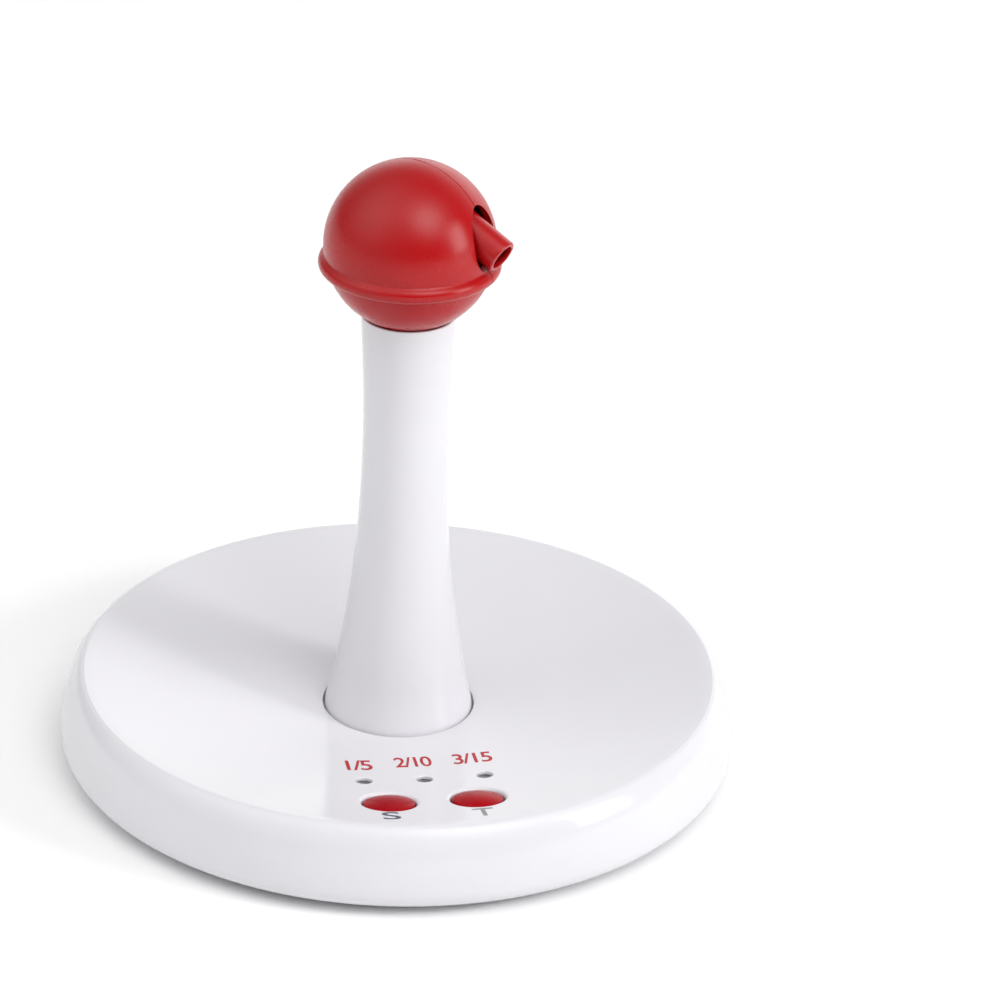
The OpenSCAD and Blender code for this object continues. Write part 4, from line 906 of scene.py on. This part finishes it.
tube = made("nozzle_tube", spun(tube_outline(), 128), TUBE)
pins = rod(PIVOT_R, -TUBE_R - PIVOT_LEN, TUBE_R + PIVOT_LEN, Matrix.Translation(PIVOT) @ ACROSS,
           48, 0.2)
combine(pins, rod(TUBE_BORE_R + 0.2, -30, 30, TUBE, 96), "DIFFERENCE")
combine(tube, pins, "UNION")
tube.data.transform(scaled(HEAD))
smoothed(tube)
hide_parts("laser_tube")
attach(tube, "laser")
print("laser tube:", len(tube.data.polygons), "faces")

# %% [markdown]
# ## Push buttons and lamps
#
# Each button is a domed cap with a rolled edge, a flange that keeps it in the shell, and a stem
# that presses the switch. The lamps are epoxy bodies, darkened as painted shade so that the holes
# look dark, with a cup and two legs inside, so each is a glassy body and a metal frame.

# %% Push buttons
CAP_UNDER, FLANGE_T, FLANGE_R, STEM_R, STEM_LOW = 2.4, 1.1, 8.8, 2.4, -6.1
CAP_ROLL, DOME_R = 0.55, 23.0


def cap_outline():
    """Half outline of a button, from the stem's foot up to the top of the dome."""
    turn_r = BUTTON_R - CAP_ROLL
    lean = math.degrees(math.asin(turn_r / DOME_R))
    roll = arc(turn_r, -CAP_ROLL, CAP_ROLL, CAP_ROLL, 0, 90 - lean, 6)
    x, z = roll[-1]
    centre = z - math.sqrt(DOME_R ** 2 - x ** 2)
    dome = [(r, centre + math.sqrt(DOME_R ** 2 - r ** 2)) for r in between(x, 0, 16)[1:]]
    skirt = [(0, STEM_LOW), (STEM_R - 0.2, STEM_LOW), (STEM_R, STEM_LOW + 0.2),
             (STEM_R, -CAP_UNDER - FLANGE_T), (FLANGE_R - 0.15, -CAP_UNDER - FLANGE_T),
             (FLANGE_R, -CAP_UNDER - FLANGE_T + 0.15), (FLANGE_R, -CAP_UNDER),
             (BUTTON_R, -CAP_UNDER)]
    return skirt + roll + dome


for side, what in ((-1, "speed"), (1, "time")):
    cap = made("cap_" + what, spun(cap_outline(), 128), PANEL @ moved(side * BUTTON_X, BUTTON_Y, 0))
    smoothed(cap)
    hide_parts("button_" + what)
    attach(cap, what + "_button")
    dressed(cap, FINISHES["red_button"])
    print(cap.name, len(cap.data.polygons), "faces")

# %% Lamps
LAMP_R, LAMP_H = 2.5, 8.6
# The cup's outline, and the two legs' places and tops
LAMP_CUP = [(0, 3.2), (0.7, 3.2), (0.7, 4.0), (1.3, 5.3), (1.15, 5.3), (0.55, 4.3), (0, 4.3)]
LAMP_LEGS, LEG_HALF, LEG_LOW = ((-0.62, 3.6), (1.5, 5.0)), 0.25, 0.4


def lamp_outline():
    """Half outline of a round lamp: its collar, its side and its dome."""
    dome = arc(0, LAMP_H - LAMP_R, LAMP_R, LAMP_R, 0, 90, 16)
    return [(0, 0), (LAMP_R + 0.4, 0), (LAMP_R + 0.4, 0.9), (LAMP_R + 0.3, 1), (LAMP_R, 1)] \
        + dome[:-1] + [(0, LAMP_H)]


# The epoxy's brown-grey colour is painted shade: it stands in for the dark inside of the lamp holes
clear = finish("epoxy_darkened_as_painted_shade", (0.26, 0.24, 0.22), (0.22, 0.2, 0.18), edge_colour=(0.4, 0.38, 0.34),
               rough=(0.01, 0.04), grain=2600.0, bump=0.03, drift=200.0, dust=0.02,
               transmission_weight=1.0, ior=1.5)
for number in (1, 2, 3):
    spot = PANEL @ moved((number - 2) * LAMP_PITCH, LAMP_Y, BOARD_TOP)
    body = made("lamp_body_%d" % number, spun(lamp_outline(), 64), spot)
    leads = made("lamp_frame_%d" % number, spun(LAMP_CUP, 32), spot)
    for x, top in LAMP_LEGS:
        leg = block((x - LEG_HALF, -LEG_HALF, LEG_LOW), (x + LEG_HALF, LEG_HALF, top), spot)
        combine(leads, leg, "UNION")
    smoothed(body)
    smoothed(leads)
    dressed(body, clear)
    dressed(leads, FINISHES["brass"])
    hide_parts("lamp_%d" % number)
    for piece in (body, leads):
        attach(piece, "base")
print("3 lamps, each a glassy body on a metal frame")

# %% [markdown]
# ## Printed marks
#
# The panel carries plain numbers over the lamps and one letter under each button. The ink is a very
# thin layer. Each mark starts as text, becomes a mesh, and is then laid on the dish point by point,
# so that the ink follows the curve under it.

# %% Printed marks
# The layer's thickness, how much the strokes are fattened, and how closely the letters stand
INK, INK_SPREAD, LETTER_SPACE = 0.02, 0.014, 0.86
# Words, place of the middle in x and y, width and height in millimetres, and ink
MARKS = [("1/5", -17.3, -41.6, 7.6, 7.2, "red"), ("2/10", -1.4, -40.25, 10.8, 7.2, "red"),
         ("3/15", 15.95, -40.25, 11.4, 7.2, "red"), ("S", -13.75, -83.2, 5.1, 6.7, "navy"),
         ("T", 12.3, -83.9, 6.0, 7.0, "grey")]
INKS = {
    "red": finish("red_ink", (0.47, 0.012, 0.02), (0.41, 0.01, 0.018), rough=(0.3, 0.4), bump=0.1,
                  drift=300.0, dust=0.02, specular_ior_level=0.2),
    "navy": finish("navy_ink", (0.022, 0.035, 0.07), (0.03, 0.045, 0.08), rough=(0.3, 0.4),
                   bump=0.1, drift=300.0, dust=0.05),
    "grey": finish("grey_ink", (0.19, 0.19, 0.18), (0.24, 0.24, 0.23), rough=(0.3, 0.4), bump=0.1,
                   drift=300.0, dust=0.05),
}


def printed(name, text, x, y, width, height, ink):
    """Lays a word of ink on the dish with its middle at (x, y)."""
    curve = bpy.data.curves.new(name, "FONT")
    curve.body, curve.size, curve.offset = text, 1.0, INK_SPREAD
    curve.space_character = LETTER_SPACE
    curve.align_x, curve.align_y = "CENTER", "CENTER"
    curve.extrude = 0.002
    word = bpy.data.objects.new("word", curve)
    bpy.context.scene.collection.objects.link(word)
    bpy.context.view_layer.update()
    mesh = bpy.data.meshes.new_from_object(word.evaluated_get(bpy.context.evaluated_depsgraph_get()))
    bpy.data.objects.remove(word)
    bm = bmesh.new()
    bm.from_mesh(mesh)
    bpy.data.meshes.remove(mesh)
    low = [min(v.co[i] for v in bm.verts) for i in (0, 1, 2)]
    high = [max(v.co[i] for v in bm.verts) for i in (0, 1, 2)]
    bmesh.ops.remove_doubles(bm, verts=bm.verts[:], dist=1e-5)
    for vert in bm.verts:
        u = (vert.co.x - low[0]) / (high[0] - low[0]) - 0.5
        v = (vert.co.y - low[1]) / (high[1] - low[1]) - 0.5
        layer = INK if vert.co.z > 0 else -INK / 2
        px, py = x + u * width, y + v * height
        vert.co = Vector((px, py, dish_z(math.hypot(px, py)) + layer)) * MM
    bmesh.ops.recalc_face_normals(bm, faces=bm.faces[:])
    mark = made(name, bm)
    dressed(mark, INKS[ink])
    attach(mark, "base")
    return mark


for number, mark in enumerate(MARKS, 1):
    printed("mark_%d" % number, *mark)
print(len(MARKS), "printed marks")

# %% [markdown]
# ## The solids that stay
#
# The screws, gears, springs, boards and cells are right as they come. Their meshes are left alone:
# a Weld and an Edge Split give them smooth rounds and crisp corners, and each gets its finish.

# %% Finishes for every piece
WELD_GAP, CRISP_ANGLE, FACE_WEIGHT = 0.000002, math.radians(30), 50
SLOT_OF = {row["node"]: row["material_slot"] for row in frame["record"]["subparts"]}
# The lamp_clear slot gets the epoxy that is darkened as painted shade
FINISHES["lamp_clear"] = clear
replaced = {"base_shell", "column", "ball_front", "ball_back", "laser_tube", "button_speed",
            "button_time", "lamp_1", "lamp_2", "lamp_3"}
for slot_name, pieces in (("white_shell", (shell, column)),
                          ("red_ball", (ball_front, ball_back, tube))):
    for piece in pieces:
        dressed(piece, FINISHES[slot_name])
for name, piece in nodes.items():
    piece.data.materials.clear()
    piece.data.materials.append(FINISHES[SLOT_OF[name]])
    if name in replaced:
        continue
    for polygon in piece.data.polygons:
        polygon.use_smooth = True
    weld = piece.modifiers.new("weld", "WELD")
    weld.merge_threshold = WELD_GAP
    split = piece.modifiers.new("crisp", "EDGE_SPLIT")
    split.split_angle = CRISP_ANGLE
    even = piece.modifiers.new("even", "WEIGHTED_NORMAL")
    even.weight = FACE_WEIGHT
print("finished", len(nodes), "nodes,", len(nodes) - len(replaced), "of them carried over")
